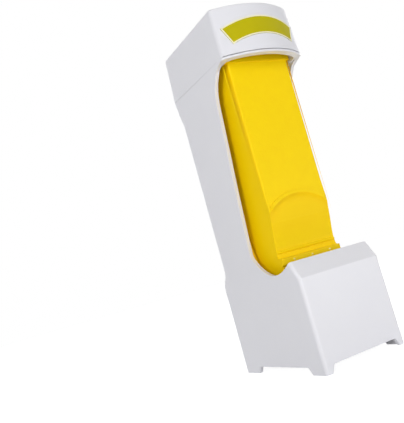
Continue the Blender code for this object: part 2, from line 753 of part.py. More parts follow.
def shell_body():
    """The housing's walls: base, back and the two sides of the body, hollow and open at the window."""
    shell = prism("housing", shell_outline(), "X", -SHELL_HALF, SHELL_HALF)

    def on_side(a, b):
        return near(abs(a.x), SHELL_HALF) and near(a.x, b.x) and upright(a, b)

    def on_base_front(a, b):
        behind = -BASE_HALF + BASE_SHOULDER_INSET + NEAR
        return on_side(a, b) and max(a.y, b.y) < behind and max(a.z, b.z) < BASE_HEIGHT + NEAR

    def on_back(a, b):
        return on_side(a, b) and min(a.y, b.y) > BODY_BACK - NEAR

    def on_lip(a, b):
        return near(a.y, b.y) and near(a.z, BASE_HEIGHT) and near(b.z, BASE_HEIGHT)

    round_edges(shell, BASE_CORNER_RADIUS, on_base_front, CORNER_STEPS)
    round_edges(shell, BACK_CORNER_RADIUS, on_back)
    round_edges(shell, BASE_LIP_RADIUS, on_lip, EDGE_STEPS)
    add(shell, prism("collar_front", hood_front(RIM_TOP_Y + SHELL_WALL), "Z", COLLAR_BOTTOM, BODY_TOP))
    cut(shell, prism("cavity", cavity_outline(), "X", -SHELL_INNER, SHELL_INNER))
    mouth = hood_plan(SHELL_WALL + COLLAR_LIP)
    cut(shell, prism("collar_mouth", mouth, "Z", COLLAR_BOTTOM - OVERRUN, BODY_TOP + OVERRUN))
    return shell


def spigot():
    """The thin ring that the cap fits over."""
    outer = SHELL_WALL + RUN_GAP
    ring = prism("spigot", hood_plan(outer), "Z", BODY_TOP - COLLAR_HEIGHT / 2, BODY_TOP + SPIGOT_HEIGHT)
    mouth = prism("spigot_mouth", hood_plan(outer + SPIGOT_WALL), "Z", COLLAR_BOTTOM, OVERALL_HEIGHT)
    return cut(ring, mouth)


def pin_ear(side):
    """One ear above the collar, with the boss that centres the handle on its pin."""
    inner = EAR_OUTER - EAR_THICKNESS
    y, z = HANDLE_PIVOT
    foot = BODY_TOP - COLLAR_HEIGHT / 2
    outline = [(y - EAR_FOOT_LENGTH / 2, foot), (y + EAR_FOOT_LENGTH / 2, foot)]
    outline += arc(HANDLE_PIVOT, EAR_RADIUS, 0, math.pi, LINK_STEPS)
    ear = prism("ear", outline, "X", *sorted((side * inner, side * EAR_OUTER)))
    low = side * (HANDLE_HALF + RUN_GAP)
    high = side * (inner + EAR_THICKNESS / 2)
    return add(ear, rod("ear_boss", HANDLE_PIVOT, EAR_BOSS_RADIUS, "X", low, high))


def arch(low, high, height, slant):
    """Outline of a foot arch: a flat top and slanted ends, with soft corners above and on the feet."""
    outline = [(low - FOOT_FLARE, -OVERRUN), (high + FOOT_FLARE, -OVERRUN), (high, 0)]
    outline += [(high - slant, height), (low + slant, height), (low, 0)]
    return filleted(outline, {2: FOOT_ROUND, 3: FOOT_ROUND, 4: FOOT_ROUND, 5: FOOT_ROUND})


def screw_places():
    """Top screws of the chute, then bottom screws of the slide frame, as (name, x, y)."""
    top = []
    bottom = []
    for number, (x, y) in enumerate(rectangle((-POST_X, POST_FRONT_Y), (POST_X, POST_BACK_Y)), 1):
        top.append((f"chute_screw_{number}", x, y))
    x = SHELL_INNER - BASE_POST_SIDE / 2
    front = -BASE_INNER + BASE_POST_SIDE / 2
    back = BASE_INNER - BASE_BACK_POST_DEPTH / 2
    corners = ((-x, front), (x, front), (BASE_BACK_POST_X, back), (-BASE_BACK_POST_X, back))
    for number, (x, y) in enumerate(corners, 1):
        bottom.append((f"frame_screw_{number}", x, y))
    return top, bottom


def screw_posts():
    """The posts that stand on the housing's walls and take the screws."""
    top, bottom = screw_places()
    half = SCREW_RADIUS + POST_WALL
    posts = []
    for name, x, y in top:
        side = math.copysign(1, x)
        low = (x - side * half, y - half, POST_TOP - POST_HEIGHT)
        posts.append(block(name + "_post", low, (side * (SHELL_INNER + POST_BITE), y + half, POST_TOP)))
    low_z = FRAME_TOP + SEAT_GAP
    high_z = low_z + BASE_POST_HEIGHT
    for name, x, y in bottom:
        side = math.copysign(1, x)
        low = (side * (SHELL_INNER - BASE_POST_SIDE), -BASE_INNER - POST_BITE, low_z)
        high = (side * (SHELL_INNER + POST_BITE), -BASE_INNER + BASE_POST_SIDE, high_z)
        if y > 0:
            low = (x - BASE_POST_SIDE / 2, BASE_INNER - BASE_BACK_POST_DEPTH, low_z)
            high = (x + BASE_POST_SIDE / 2, BASE_INNER + POST_BITE, high_z)
        posts.append(block(name + "_post", low, high))
    return posts


def screw_holes():
    """Blind holes in the posts, a screw's length deep."""
    top, bottom = screw_places()
    hole = SCREW_RADIUS + PIN_GAP
    holes = []
    for name, x, y in top:
        deep = POST_TOP - SCREW_LENGTH - OVERRUN
        holes.append(rod(name + "_hole", (x, y), hole, "Z", deep, POST_TOP + OVERRUN, SMALL_SIDES))
    for name, x, y in bottom:
        high = FRAME_TOP + SCREW_LENGTH
        holes.append(rod(name + "_hole", (x, y), hole, "Z", FRAME_TOP, high, SMALL_SIDES))
    return holes


def build_housing():
    shell = shell_body()
    add(shell, spigot(), pin_ear(-1), pin_ear(1))
    add(shell, *screw_posts())
    for side in (-1, 1):
        low = side * (ROCKER_OUTER + RUN_GAP)
        high = side * (SHELL_INNER + POST_BITE)
        add(shell, rod("hub_boss", ROCKER_PIVOT, HUB_BOSS_RADIUS, "X", low, high))
    cut(shell, *screw_holes())

    reach = SHELL_HALF + OVERRUN
    cut(shell, rod("pin_hole", HANDLE_PIVOT, PIN_RADIUS + PIN_GAP, "X", -reach, reach))
    for side in (-1, 1):
        low = side * ROCKER_INNER
        high = side * (SHELL_INNER + STUD_SEAT_DEPTH + PIN_GAP)
        cut(shell, rod("stud_seat", ROCKER_PIVOT, STUD_RADIUS + PIN_GAP, "X", low, high))
    front = -BASE_HALF + FOOT_FRONT_LENGTH
    back = BASE_HALF - FOOT_BACK_LENGTH
    side_arch = arch(front, back, SIDE_ARCH_HEIGHT, SIDE_ARCH_SLANT)
    front_arch = arch(-SHELL_HALF + FOOT_WIDTH, SHELL_HALF - FOOT_WIDTH, FRONT_ARCH_HEIGHT, FRONT_ARCH_SLANT)
    cut(shell, prism("side_arch", side_arch, "X", -reach, reach))
    cut(shell, prism("front_arch", front_arch, "Y", -BASE_DEPTH, BASE_DEPTH))
    return white_plastic(shell)


def label_outline(inset):
    """An arched band, in front view, drawn in from its edge by inset."""
    chord = LABEL_HALF_WIDTH
    radius = (chord**2 + LABEL_ARCH_RISE**2) / (2 * LABEL_ARCH_RISE)
    centre = (0, CAP_BOTTOM + LABEL_MIDDLE_RISE - radius)
    half = LABEL_BAND_HEIGHT / 2
    left = math.pi / 2 + math.asin(chord / radius) - inset / radius
    right = math.pi - left
    outline = arc(centre, radius + half - inset, left, right, LABEL_STEPS)
    return outline + arc(centre, radius - half + inset, right, left, LABEL_STEPS)


def label_slab(name, front_inset, back_inset, edge_inset):
    """A slab of the cap's front between two depths, cut to the label's outline."""
    slab = drafted(prism(name, hood_sector(front_inset, back_inset), "Z", CAP_BOTTOM, OVERALL_HEIGHT))
    return keep(slab, prism(name + "_edge", label_outline(edge_inset), "Y", -BASE_DEPTH, 0))


def build_cap():
    cap = prism("top_cap", hood_plan(0), "Z", CAP_BOTTOM, OVERALL_HEIGHT)

    def on_top(a, b):
        return near(a.z, OVERALL_HEIGHT) and near(b.z, OVERALL_HEIGHT)

    drafted(round_edges(cap, CAP_EDGE_ROUND, on_top, EDGE_STEPS))
    roof = OVERALL_HEIGHT - CAP_TOP_WALL
    cut(cap, prism("cap_inside", hood_plan(SHELL_WALL), "Z", CAP_BOTTOM - OVERRUN, roof))
    cut(cap, label_slab("label_pocket", -OVERRUN, LABEL_POCKET_DEPTH, 0))
    return white_plastic(cap)


def build_label():
    label = label_slab("cap_label", -LABEL_PROUD, LABEL_POCKET_DEPTH - LABEL_GAP, LABEL_GAP)
    return finish(label, OLIVE, 0.45)


def handle_face_y(z):
    """The leaning front face of the handle at a height above its bend."""
    top = HANDLE_PIVOT[1] - HANDLE_HEAD_DROP
    return HANDLE_FACE_Y + HANDLE_LEAN * (top - z) / (top - HANDLE_BEND_Z)


def handle_face(offset):
    """The front of the handle in side view, from its head down to its waist, offset inwards."""
    y, z = HANDLE_PIVOT
    points = arc((y, z - HANDLE_HEAD_DROP), y - HANDLE_FACE_Y - offset, math.pi / 2, math.pi, HEAD_STEPS)
    bend = (handle_face_y(HANDLE_BEND_Z) + offset, HANDLE_BEND_Z)
    waist = (HANDLE_WAIST_Y + offset, HANDLE_WAIST_Z)
    pull = (bend[1] - waist[1]) * HANDLE_BEND_PULL_SHARE
    return points + bezier(bend, (bend[0], bend[1] - pull), (waist[0], waist[1] + pull), waist) + [waist]


def handle_outline():
    """Side view of the handle without its ridge: head, front face, waist, skirt, lobe and back edge."""
    outline = handle_face(0)
    outline += [(HANDLE_SKIRT_Y, HANDLE_RIDGE_BOTTOM), (HANDLE_SKIRT_Y, HANDLE_SKIRT_Z)]
    outline += [(CHUTE_FRONT - HANDLE_SKIRT_BACK_REACH, HANDLE_SKIRT_Z)]
    outline += arc(DRIVE_STUD, HANDLE_LOBE_RADIUS, HANDLE_LOBE_FIRST, HANDLE_LOBE_LAST, ARC_STEPS)
    outline += arc(HANDLE_PIVOT, HANDLE_HEAD_RADIUS, 0, HANDLE_NECK_LAST, ARC_STEPS)
    return outline


def handle_ridge():
    """The ridge below the waist, which a hollow leads out to, and three pips on its front."""
    root = HANDLE_WAIST_Y + HANDLE_FACE_WALL / 2
    half = HANDLE_HALF + HANDLE_RIDGE_LAP
    hollow = (HANDLE_WAIST_Z - HANDLE_RIDGE_Z) * HANDLE_RIDGE_HOLLOW_SHARE
    waist = (HANDLE_WAIST_Y + HANDLE_RIDGE_LAP, HANDLE_WAIST_Z)
    crest = (HANDLE_RIDGE_Y, HANDLE_RIDGE_Z)
    ridge = bezier(waist, (waist[0], waist[1] - hollow), (waist[0], crest[1]), crest)
    ridge += [crest, (HANDLE_RIDGE_Y, HANDLE_RIDGE_BOTTOM)]
    ridge += [(HANDLE_SKIRT_Y, HANDLE_RIDGE_BOTTOM - HANDLE_RIDGE_UNDERCUT)]
    ridge += [(root, HANDLE_RIDGE_BOTTOM - HANDLE_RIDGE_UNDERCUT), (root, HANDLE_WAIST_Z)]

    def on_end(a, b):
        side = near(abs(a.x), half) and near(a.x, b.x)
        return side and near(a.y, HANDLE_RIDGE_Y) and near(b.y, HANDLE_RIDGE_Y)

    bar = prism("ridge", ridge, "X", -half, half)
    round_edges(bar, HANDLE_RIDGE_END_ROUND, on_end, EDGE_STEPS)
    pieces = [bar]
    for place in (-1, 0, 1):
        centre = (place * PIP_PITCH, HANDLE_RIDGE_BOTTOM + PIP_RISE)
        front = HANDLE_RIDGE_Y - PIP_HEIGHT
        pieces.append(rod("pip", centre, PIP_RADIUS, "Y", front, HANDLE_RIDGE_Y + OVERRUN, PIP_SIDES))
    return pieces


def handle_channel():
    """What is cut out behind the handle's face and between its side walls."""
    skirt = HANDLE_SKIRT_Y + HANDLE_FACE_WALL
    low = HANDLE_SKIRT_Z - OVERRUN
    outline = handle_face(HANDLE_FACE_WALL)
    outline += [(skirt, HANDLE_RIDGE_BOTTOM), (skirt, low), (BASE_DEPTH, low), (BASE_DEPTH, outline[0][1])]
    return prism("channel", outline, "X", -HANDLE_INNER, HANDLE_INNER)


def handle_ribs():
    """Cross ribs that stiffen the face from behind, evenly spaced above the bend."""
    half = HANDLE_INNER + HANDLE_WALL / 2
    ribs = []
    for number in range(1, HANDLE_RIB_COUNT + 1):
        z = HANDLE_BEND_Z + number * HANDLE_RIB_PITCH
        low = (-half, handle_face_y(z) + HANDLE_FACE_WALL / 2, z - HANDLE_RIB_WIDTH / 2)
        back = handle_face_y(z) + HANDLE_FACE_WALL + HANDLE_RIB_DEPTH
        ribs.append(block("rib", low, (half, back, z + HANDLE_RIB_WIDTH / 2)))
    return ribs


def handle_shoulders():
    """The head of the handle, a little wider and prouder than the face below it."""
    y, z = HANDLE_PIVOT
    centre = (y, z - HANDLE_HEAD_DROP)
    reach = y - HANDLE_FACE_Y + HANDLE_SHOULDER_PROUD
    low = z - HANDLE_SHOULDER_LOW
    front = handle_face_y(low) - HANDLE_SHOULDER_PROUD
    outline = arc(centre, reach, HANDLE_SHOULDER_FIRST, math.pi, HEAD_STEPS)
    outline += [(front, low), (front + HANDLE_SHOULDER_DEPTH, low)]
    outline += arc(centre, reach - HANDLE_SHOULDER_DEPTH, math.pi, HANDLE_SHOULDER_FIRST, HEAD_STEPS)
    half = HANDLE_HALF + HANDLE_SHOULDER_REACH
    shoulders = prism("shoulders", outline, "X", -half, half)

    def outside(corner):
        if corner.z < centre[1]:
            return corner.y < handle_face_y(corner.z) - HANDLE_SHOULDER_PROUD + NEAR
        return math.dist((corner.y, corner.z), centre) > reach - NEAR

    def on_side_edge(a, b):
        return near(abs(a.x), half) and near(a.x, b.x) and outside(a) and outside(b)

    round_edges(shoulders, HANDLE_SHOULDER_ROUND, on_side_edge)
    return shoulders


def thumb_dish():
    """The raised band above the round recess for the thumb, and the recess itself."""
    front = handle_face_y(HANDLE_BEND_Z)
    centre = (0, DISH_CENTRE_Z)
    dish = rod("dish", centre, DISH_RADIUS, "Y", -BASE_DEPTH, front + DISH_DEPTH, DISH_SIDES)
    outer = DISH_RADIUS + DISH_BAND_WIDTH
    inner = DISH_RADIUS - DISH_BAND_WIDTH / 2
    spread = math.asin((HANDLE_HALF - HANDLE_EDGE_ROUND) / outer)
    up = math.pi / 2
    outline = arc(centre, outer, up - spread, up + spread, LABEL_STEPS)
    outline += arc(centre, inner, up + spread, up - spread, LABEL_STEPS)
    band = prism("dish_band", outline, "Y", front - DISH_BAND_HEIGHT, front + HANDLE_FACE_WALL / 2)
    return band, dish


def drive_slot():
    """The slot that lets the rocker's stud slide a little as both parts swing."""
    pivot = Vector(HANDLE_PIVOT)
    along = Vector(DRIVE_STUD) - pivot
    middle = Vector(rocker_point(0, ROCKER_DRIVE_RADIUS, 0)) - pivot
    end = Vector(DRIVE_STUD_END) - pivot
    far = pivot + along.normalized() * max(middle.length, end.length)
    radius = STUD_RADIUS + 2 * PIN_GAP
    return prism("drive_slot", link(DRIVE_STUD, radius, tuple(far), radius), "X", -SHELL_HALF, SHELL_HALF)


def build_handle():
    handle = prism("handle", handle_outline(), "X", -HANDLE_HALF, HANDLE_HALF)

    def on_front_edge(a, b):
        side = near(abs(a.x), HANDLE_HALF) and near(a.x, b.x)
        return side and max(a.y, b.y) < HANDLE_WAIST_Y + NEAR

    round_edges(handle, HANDLE_EDGE_ROUND, on_front_edge)
    band, dish = thumb_dish()
    cut(add(handle, band), dish)
    add(handle, *handle_ridge())
    add(handle, handle_shoulders())
    cut(handle, handle_channel())

    for side in (-1, 1):
        low = side * (HANDLE_INNER - HANDLE_BOSS_LENGTH)
        high = side * (HANDLE_INNER + HANDLE_WALL / 2)
        add(handle, rod("pin_boss", HANDLE_PIVOT, EAR_BOSS_RADIUS, "X", low, high))
    seat_front = handle_face_y(SPRING_Z) + HANDLE_FACE_WALL / 2
    seat_back = handle_face_y(SPRING_Z) + HANDLE_FACE_WALL + SPRING_SEAT_LENGTH
    add(handle, rod("spring_seat", (0, SPRING_Z), SPRING_SEAT_RADIUS, "Y", seat_front, seat_back))
    add(handle, *handle_ribs())
    cut(handle, rod("pin_hole", HANDLE_PIVOT, PIN_RADIUS + PIN_GAP, "X", -SHELL_HALF, SHELL_HALF))
    cut(handle, drive_slot())
    return yellow_plastic(handle)


def build_rocker(side):
    name = "rocker_left" if side < 0 else "rocker_right"
    low, high = sorted((side * ROCKER_INNER, side * ROCKER_OUTER))
    arm = prism(name, link(ROCKER_PIVOT, ROCKER_HUB_RADIUS, TIP_STUD, ROCKER_TIP_RADIUS), "X", low, high)
    lever = link(ROCKER_PIVOT, ROCKER_HUB_RADIUS, LIFT_STUD, ROCKER_TIP_RADIUS)
    add(arm, prism("lever", lever, "X", low, high))
    root = side * (ROCKER_INNER + ROCKER_THICKNESS / 2)
    for stud, place, radius, inner in (
        ("drive_stud", DRIVE_STUD, STUD_RADIUS, HANDLE_INNER),
        ("tip_stud", TIP_STUD, STUD_RADIUS, FORK_INNER + RUN_GAP),
        ("lift_stud", LIFT_STUD, LIFT_STUD_RADIUS, RACK_INNER),
    ):
        add(arm, rod(stud, place, radius, "X", side * inner, root, STUD_SIDES))

    floor = side * (ROCKER_OUTER - ROCKER_PANEL_DEPTH)
    panel_low, panel_high = sorted((floor, side * (ROCKER_OUTER + OVERRUN)))
    radius = ROCKER_TIP_RADIUS - ROCKER_PANEL_INSET
    for first, last, shares in (
        (ROCKER_PIVOT, DRIVE_STUD, ROCKER_UPPER_PANEL_SHARES),
        (DRIVE_STUD, TIP_STUD, ROCKER_LOWER_PANEL_SHARES),
    ):
        start, end = (tuple(Vector(first).lerp(Vector(last), share)) for share in shares)
        cut(arm, prism("panel", link(start, radius + NEAR, end, radius), "X", panel_low, panel_high))
    cut(arm, rod("hub_hole", ROCKER_PIVOT, STUD_RADIUS + PIN_GAP, "X", low - OVERRUN, high + OVERRUN))
    return yellow_plastic(arm)


def build_rocker_pin(side):
    name = "rocker_pin_left" if side < 0 else "rocker_pin_right"
    head = HANDLE_HALF + RUN_GAP
    profile = [
        (0, head),
        (STUD_HEAD_RADIUS - STUD_HEAD_HEIGHT / 2, head),
        (STUD_HEAD_RADIUS, head + STUD_HEAD_HEIGHT / 2),
        (STUD_HEAD_RADIUS, head + STUD_HEAD_HEIGHT),
        (STUD_RADIUS, head + STUD_HEAD_HEIGHT),
        (STUD_RADIUS, SHELL_INNER + STUD_SEAT_DEPTH),
        (0, SHELL_INNER + STUD_SEAT_DEPTH),
    ]
    profile = [(radius, side * height) for radius, height in profile]
    return steel(turned_piece(name, profile, (0, *ROCKER_PIVOT), "X"))


def build_handle_pin():
    end = EAR_OUTER
    tip = PIN_CHAMFER
    profile = [(0, -end), (PIN_RADIUS - tip, -end), (PIN_RADIUS, tip - end)]
    profile += [(PIN_RADIUS, end - tip), (PIN_RADIUS - tip, end), (0, end)]
    return steel(turned_piece("handle_pin", profile, (0, *HANDLE_PIVOT), "X"))


def build_screw(name, x, y, head_low, up):
    """A pan-head screw; up is 1 where it is driven from below and -1 from above."""
    profile = [
        (0, 0),
        (SCREW_HEAD_RADIUS * SCREW_CROWN_SHARE, 0),
        (SCREW_HEAD_RADIUS, SCREW_HEAD_HEIGHT * SCREW_RIM_SHARE),
        (SCREW_HEAD_RADIUS, SCREW_HEAD_HEIGHT),
        (SCREW_RADIUS, SCREW_HEAD_HEIGHT),
        (SCREW_RADIUS, SCREW_HEAD_HEIGHT + SCREW_LENGTH - SCREW_TIP),
        (0, SCREW_HEAD_HEIGHT + SCREW_LENGTH),
    ]
    profile = [(radius, up * height) for radius, height in profile]
    return steel(turned_piece(name, profile, (x, y, head_low), "Z", SMALL_SIDES))


def notch_outline(side, low):
    """A saw-tooth notch in the chute's inner wall: flat on top, sloped below, in front view."""
    wall = CHUTE_INNER - OVERRUN / 2
    deep = CHUTE_INNER + NOTCH_DEPTH
    outline = [(wall, low), (CHUTE_INNER, low), (deep, low + NOTCH_HEIGHT), (wall, low + NOTCH_HEIGHT)]
    return [(side * u, v) for u, v in outline]


def chute_walls():
    """The square tube with its flange, and a small funnel at its mouth."""
    low = (-CHUTE_OUTER, CHUTE_FRONT, CHUTE_BOTTOM)
    chute = block("butter_chute", low, (CHUTE_OUTER, CHUTE_BACK, FLANGE_TOP))
    low = (-FLANGE_HALF, CHUTE_FRONT + CHUTE_FLANGE_SETBACK, FLANGE_BOTTOM)
    add(chute, block("flange", low, (FLANGE_HALF, CHUTE_BACK, FLANGE_TOP)))
    bore_front = CHUTE_MIDDLE - CHUTE_INNER
    bore_back = CHUTE_MIDDLE + CHUTE_INNER
    low = (-CHUTE_INNER, bore_front, CHUTE_BOTTOM - OVERRUN)
    cut(chute, block("bore", low, (CHUTE_INNER, bore_back, OVERALL_HEIGHT)))

    def at_mouth(a, b):
        across = max(abs(a.x), abs(b.x)) < CHUTE_INNER + NEAR
        along = bore_front - NEAR < min(a.y, b.y) and max(a.y, b.y) < bore_back + NEAR
        return across and along and near(a.z, FLANGE_TOP) and near(b.z, FLANGE_TOP)

    return round_edges(chute, CHUTE_FUNNEL, at_mouth, FUNNEL_STEPS)


def build_chute():
    chute = chute_walls()
    slot_low = CHUTE_BOTTOM + CHUTE_SLOT_LOW
    slot_top = FLANGE_BOTTOM - CHUTE_SLOT_TOP_GAP
    slot_back = CHUTE_SLOT_FRONT + CHUTE_SLOT_WIDTH
    reach = CHUTE_OUTER + OVERRUN
    cut(chute, block("slot", (-reach, CHUTE_SLOT_FRONT, slot_low), (reach, slot_back, slot_top)))
    for side in (-1, 1):
        for y in (RACK_FRONT - RUN_GAP - GUIDE_RIB_WIDTH, RACK_FRONT + RACK_WIDTH + RUN_GAP):
            for z in (slot_low + GUIDE_RIB_HEIGHT, slot_top - 2 * GUIDE_RIB_HEIGHT):
                low = (side * (CHUTE_OUTER - CHUTE_WALL / 2), y, z)
                high = (side * RACK_OUTER, y + GUIDE_RIB_WIDTH, z + GUIDE_RIB_HEIGHT)
                add(chute, block("guide_rib", low, high))
    count = int((slot_top - slot_low) / PAT_THICKNESS)
    for side in (-1, 1):
        for step in range(count):
            outline = notch_outline(side, slot_low + step * PAT_THICKNESS)
            cut(chute, prism("notch", outline, "Y", NOTCH_FRONT, NOTCH_FRONT + NOTCH_WIDTH))
    post_front = CHUTE_FRONT - SPRING_SEAT_LENGTH
    post_back = CHUTE_FRONT + CHUTE_WALL / 2
    add(chute, rod("spring_post", (0, SPRING_Z), SPRING_SEAT_RADIUS, "Y", post_front, post_back))
    for name, x, y in screw_places()[0]:
        low = FLANGE_BOTTOM - OVERRUN
        high = FLANGE_TOP + OVERRUN
        cut(chute, rod(name + "_hole", (x, y), SCREW_RADIUS + PIN_GAP, "Z", low, high, SMALL_SIDES))
    return clear_plastic(chute)


def build_rack(side):
    name = "feed_rack_left" if side < 0 else "feed_rack_right"
    bottom = CHUTE_BOTTOM + CHUTE_SLOT_LOW + RACK_BOTTOM_RISE
    top = FLANGE_BOTTOM - CHUTE_SLOT_TOP_GAP - RACK_TRAVEL - RUN_GAP
    crest = RACK_INNER - RACK_TOOTH_DEPTH
    outline = [(RACK_OUTER, bottom), (RACK_OUTER, top), (RACK_INNER, top)]
    count = int((top - bottom) / PAT_THICKNESS)
    for step in range(count):
        tooth_top = top - step * PAT_THICKNESS
        flat = tooth_top - PAT_THICKNESS * RACK_TOOTH_FLAT_SHARE
        lead = tooth_top - PAT_THICKNESS * RACK_TOOTH_LEAD_SHARE
        outline += [(RACK_INNER, lead), (crest, flat), (RACK_INNER, flat)]
    outline += [(RACK_INNER, bottom)]
    outline = [(side * u, v) for u, v in outline]
    rack = prism(name, outline, "Y", RACK_FRONT, RACK_FRONT + RACK_WIDTH)
    low, high = sorted((side * RACK_INNER, side * RACK_OUTER))
    back = CHUTE_BACK - RACK_LUG_BACK_GAP
    half = RACK_LUG_HEIGHT / 2
    lug = rectangle((RACK_FRONT + RACK_WIDTH / 2, LIFT_STUD[1] - half), (back, LIFT_STUD[1] + half))
    lug = filleted(lug, {1: half / 2, 2: half / 2})
    add(rack, prism("lug", lug, "X", low, high))
    slot_radius = LIFT_STUD_RADIUS + PIN_GAP
    end = (ROCKER_PIVOT[0] + ROCKER_LIFT_RADIUS, LIFT_STUD[1])
    slot = link(LIFT_STUD, slot_radius, end, slot_radius)
    cut(rack, prism("lift_slot", slot, "X", low - OVERRUN, high + OVERRUN))
    return yellow_plastic(rack)


def build_carriage():
    """The bar, walls and runners that carry the blade, with a fork at each side for the rocker's stud."""
    front = BLADE_EDGE_Y - BLADE_DEPTH
    tail = TIP_STUD[0] + STUD_RADIUS + RUN_GAP + FORK_WALL
    bar_back = front + CARRIAGE_BAR_DEPTH
    bar = block("blade_carriage", (-FORK_OUTER, front, RUNNER_BOTTOM), (FORK_OUTER, bar_back, CARRIAGE_TOP))
    root = front + OVERRUN
    for side in (-1, 1):
        wall = (side * (FORK_INNER + RUN_GAP), BLADE_EDGE_Y - BLADE_BEVEL, CARRIAGE_TOP)
        add(bar, block("wall", (side * CARRIAGE_INNER, root, RUNNER_BOTTOM), wall))
        runner = (side * FORK_OUTER, tail, RUNNER_TOP)
        add(bar, block("runner", (side * FORK_INNER, root, RUNNER_BOTTOM), runner))
        for direction in (-1, 1):
            near_side = TIP_STUD[0] + direction * (STUD_RADIUS + RUN_GAP)
            prong = (side * FORK_OUTER, near_side + direction * FORK_WALL, FORK_TOP)
            add(bar, block("prong", (side * FORK_INNER, near_side, RUNNER_TOP - OVERRUN), prong))
    hole = RIVET_RADIUS + PIN_GAP
    low = CARRIAGE_TOP - RIVET_LENGTH
    for name, x, y in rivet_places():
        cut(bar, rod(name + "_hole", (x, y), hole, "Z", low, CARRIAGE_TOP + OVERRUN, SMALL_SIDES))
    return white_plastic(bar)


def rivet_places():
    x = (CARRIAGE_INNER + FORK_INNER) / 2
    front = BLADE_EDGE_Y - BLADE_DEPTH + RIVET_INSET
    back = BLADE_EDGE_Y - BLADE_BEVEL - RIVET_INSET
    corners = rectangle((-x, front), (x, back))
    return [(f"blade_rivet_{number}", *corner) for number, corner in enumerate(corners, 1)]


def build_blade():
    """A plate with a one-sided ground edge; while it is back it closes the chute's mouth."""
    half = FORK_INNER - RUN_GAP
    outline = [
        (BLADE_EDGE_Y, BLADE_TOP),
        (BLADE_EDGE_Y - BLADE_DEPTH, BLADE_TOP),
        (BLADE_EDGE_Y - BLADE_DEPTH, BLADE_BOTTOM),
        (BLADE_EDGE_Y - BLADE_BEVEL, BLADE_BOTTOM),
        (BLADE_EDGE_Y, BLADE_TOP - BLADE_LAND),
    ]
    blade = prism("blade", outline, "X", -half, half)
    hole = RIVET_RADIUS + PIN_GAP
    low = BLADE_BOTTOM - OVERRUN
    for name, x, y in rivet_places():
        cut(blade, rod(name + "_hole", (x, y), hole, "Z", low, BLADE_TOP + OVERRUN, SMALL_SIDES))
    return steel(blade)


def build_rivet(name, x, y):
    low = CARRIAGE_TOP - RIVET_LENGTH + RUN_GAP
    profile = [(0, low), (RIVET_RADIUS, low), (RIVET_RADIUS, BLADE_TOP), (0, BLADE_TOP + RIVET_DOME)]
    return steel(turned_piece(name, profile, (x, y, 0), "Z", SMALL_SIDES))


def build_slide_frame():
    """The frame that the carriage's runners slide on, screwed up into the housing's posts."""
    outer_x = SHELL_INNER - SEAT_GAP
    front = -BASE_INNER + SEAT_GAP
    back = BASE_INNER - SEAT_GAP
    frame = block("slide_frame", (-outer_x, front, FRAME_BOTTOM), (outer_x, back, FRAME_TOP))
    opening = rectangle((-CARRIAGE_INNER, front + FRAME_FRONT_BAR), (CARRIAGE_INNER, back - FRAME_BACK_BAR))
    opening = filleted(opening, {index: FRAME_GUIDE_WALL for index in range(len(opening))})
    low = FRAME_BOTTOM - OVERRUN
    cut(frame, prism("opening", opening, "Z", low, FRAME_TOP + OVERRUN))
    guide_inner = FORK_OUTER + RUN_GAP
    guide_outer = guide_inner + FRAME_GUIDE_WALL
    guide_front = -BASE_INNER + BASE_POST_SIDE + RUN_GAP
    guide_top = FRAME_TOP + FRAME_GUIDE_HEIGHT
    for side in (-1, 1):
        inner = (side * guide_inner, guide_front, FRAME_TOP - OVERRUN)
        add(frame, block("guide", inner, (side * guide_outer, back - FRAME_BACK_BAR, guide_top)))
    hole = SCREW_RADIUS + PIN_GAP
    sink = SCREW_HEAD_RADIUS + PIN_GAP
    sink_top = FRAME_BOTTOM + SCREW_HEAD_HEIGHT + SEAT_GAP
    for name, x, y in screw_places()[1]:
        cut(frame, rod(name + "_hole", (x, y), hole, "Z", low, FRAME_TOP + OVERRUN, SMALL_SIDES))
        cut(frame, rod(name + "_sink", (x, y), sink, "Z", low, sink_top, SMALL_SIDES))
    return white_plastic(frame)


def pawl_places():
    """Front edge of each pawl's pocket, with the pocket's width and the crest that the pawl reaches for."""
    feed = ("feed_pawl", CHUTE_SLOT_FRONT, CHUTE_SLOT_WIDTH, RACK_INNER - RACK_TOOTH_DEPTH)
    check = ("check_pawl", NOTCH_FRONT, NOTCH_WIDTH, CHUTE_INNER)
    return feed, check


def follower_tab(floor, top):
    """The upright tab with a finger hole that draws the follower up."""
    half = FOLLOWER_TAB_WIDTH / 2
    centre = (0, top + FOLLOWER_TAB_HEIGHT - half)
    outline = [(-half, floor), (half, floor)]
    outline += arc(centre, half, 0, math.pi, TAB_STEPS)
    low = CHUTE_MIDDLE - FOLLOWER_TAB_THICKNESS / 2
    high = CHUTE_MIDDLE + FOLLOWER_TAB_THICKNESS / 2
    tab = prism("tab", outline, "Y", low, high)
    return cut(tab, rod("finger_hole", centre, FOLLOWER_HOLE_RADIUS, "Y", low - OVERRUN, high + OVERRUN))


def build_follower():
    half = CHUTE_INNER - FOLLOWER_CLEARANCE
    front = CHUTE_MIDDLE - half
    back = CHUTE_MIDDLE + half
    top = FOLLOWER_BOTTOM + FOLLOWER_HEIGHT
    floor = FOLLOWER_BOTTOM + FOLLOWER_FLOOR
    body = block("follower", (-half, front, FOLLOWER_BOTTOM), (half, back, top))
    round_edges(body, FOLLOWER_CORNER_RADIUS, upright, EDGE_STEPS)
    deep = half - FOLLOWER_POCKET_DEPTH
    wall = FOLLOWER_WALL
    cut(body, block("inside", (wall - deep, front + wall, floor), (deep - wall, back - wall, top + OVERRUN)))
    for side in (-1, 1):
        for name, y, width, _crest in pawl_places():
            outer = (side * (half + OVERRUN), y + width, top + OVERRUN)
            cut(body, block(name + "_pocket", (side * deep, y, floor), outer))
    add(body, follower_tab(floor - wall, top))
    return white_plastic(body)


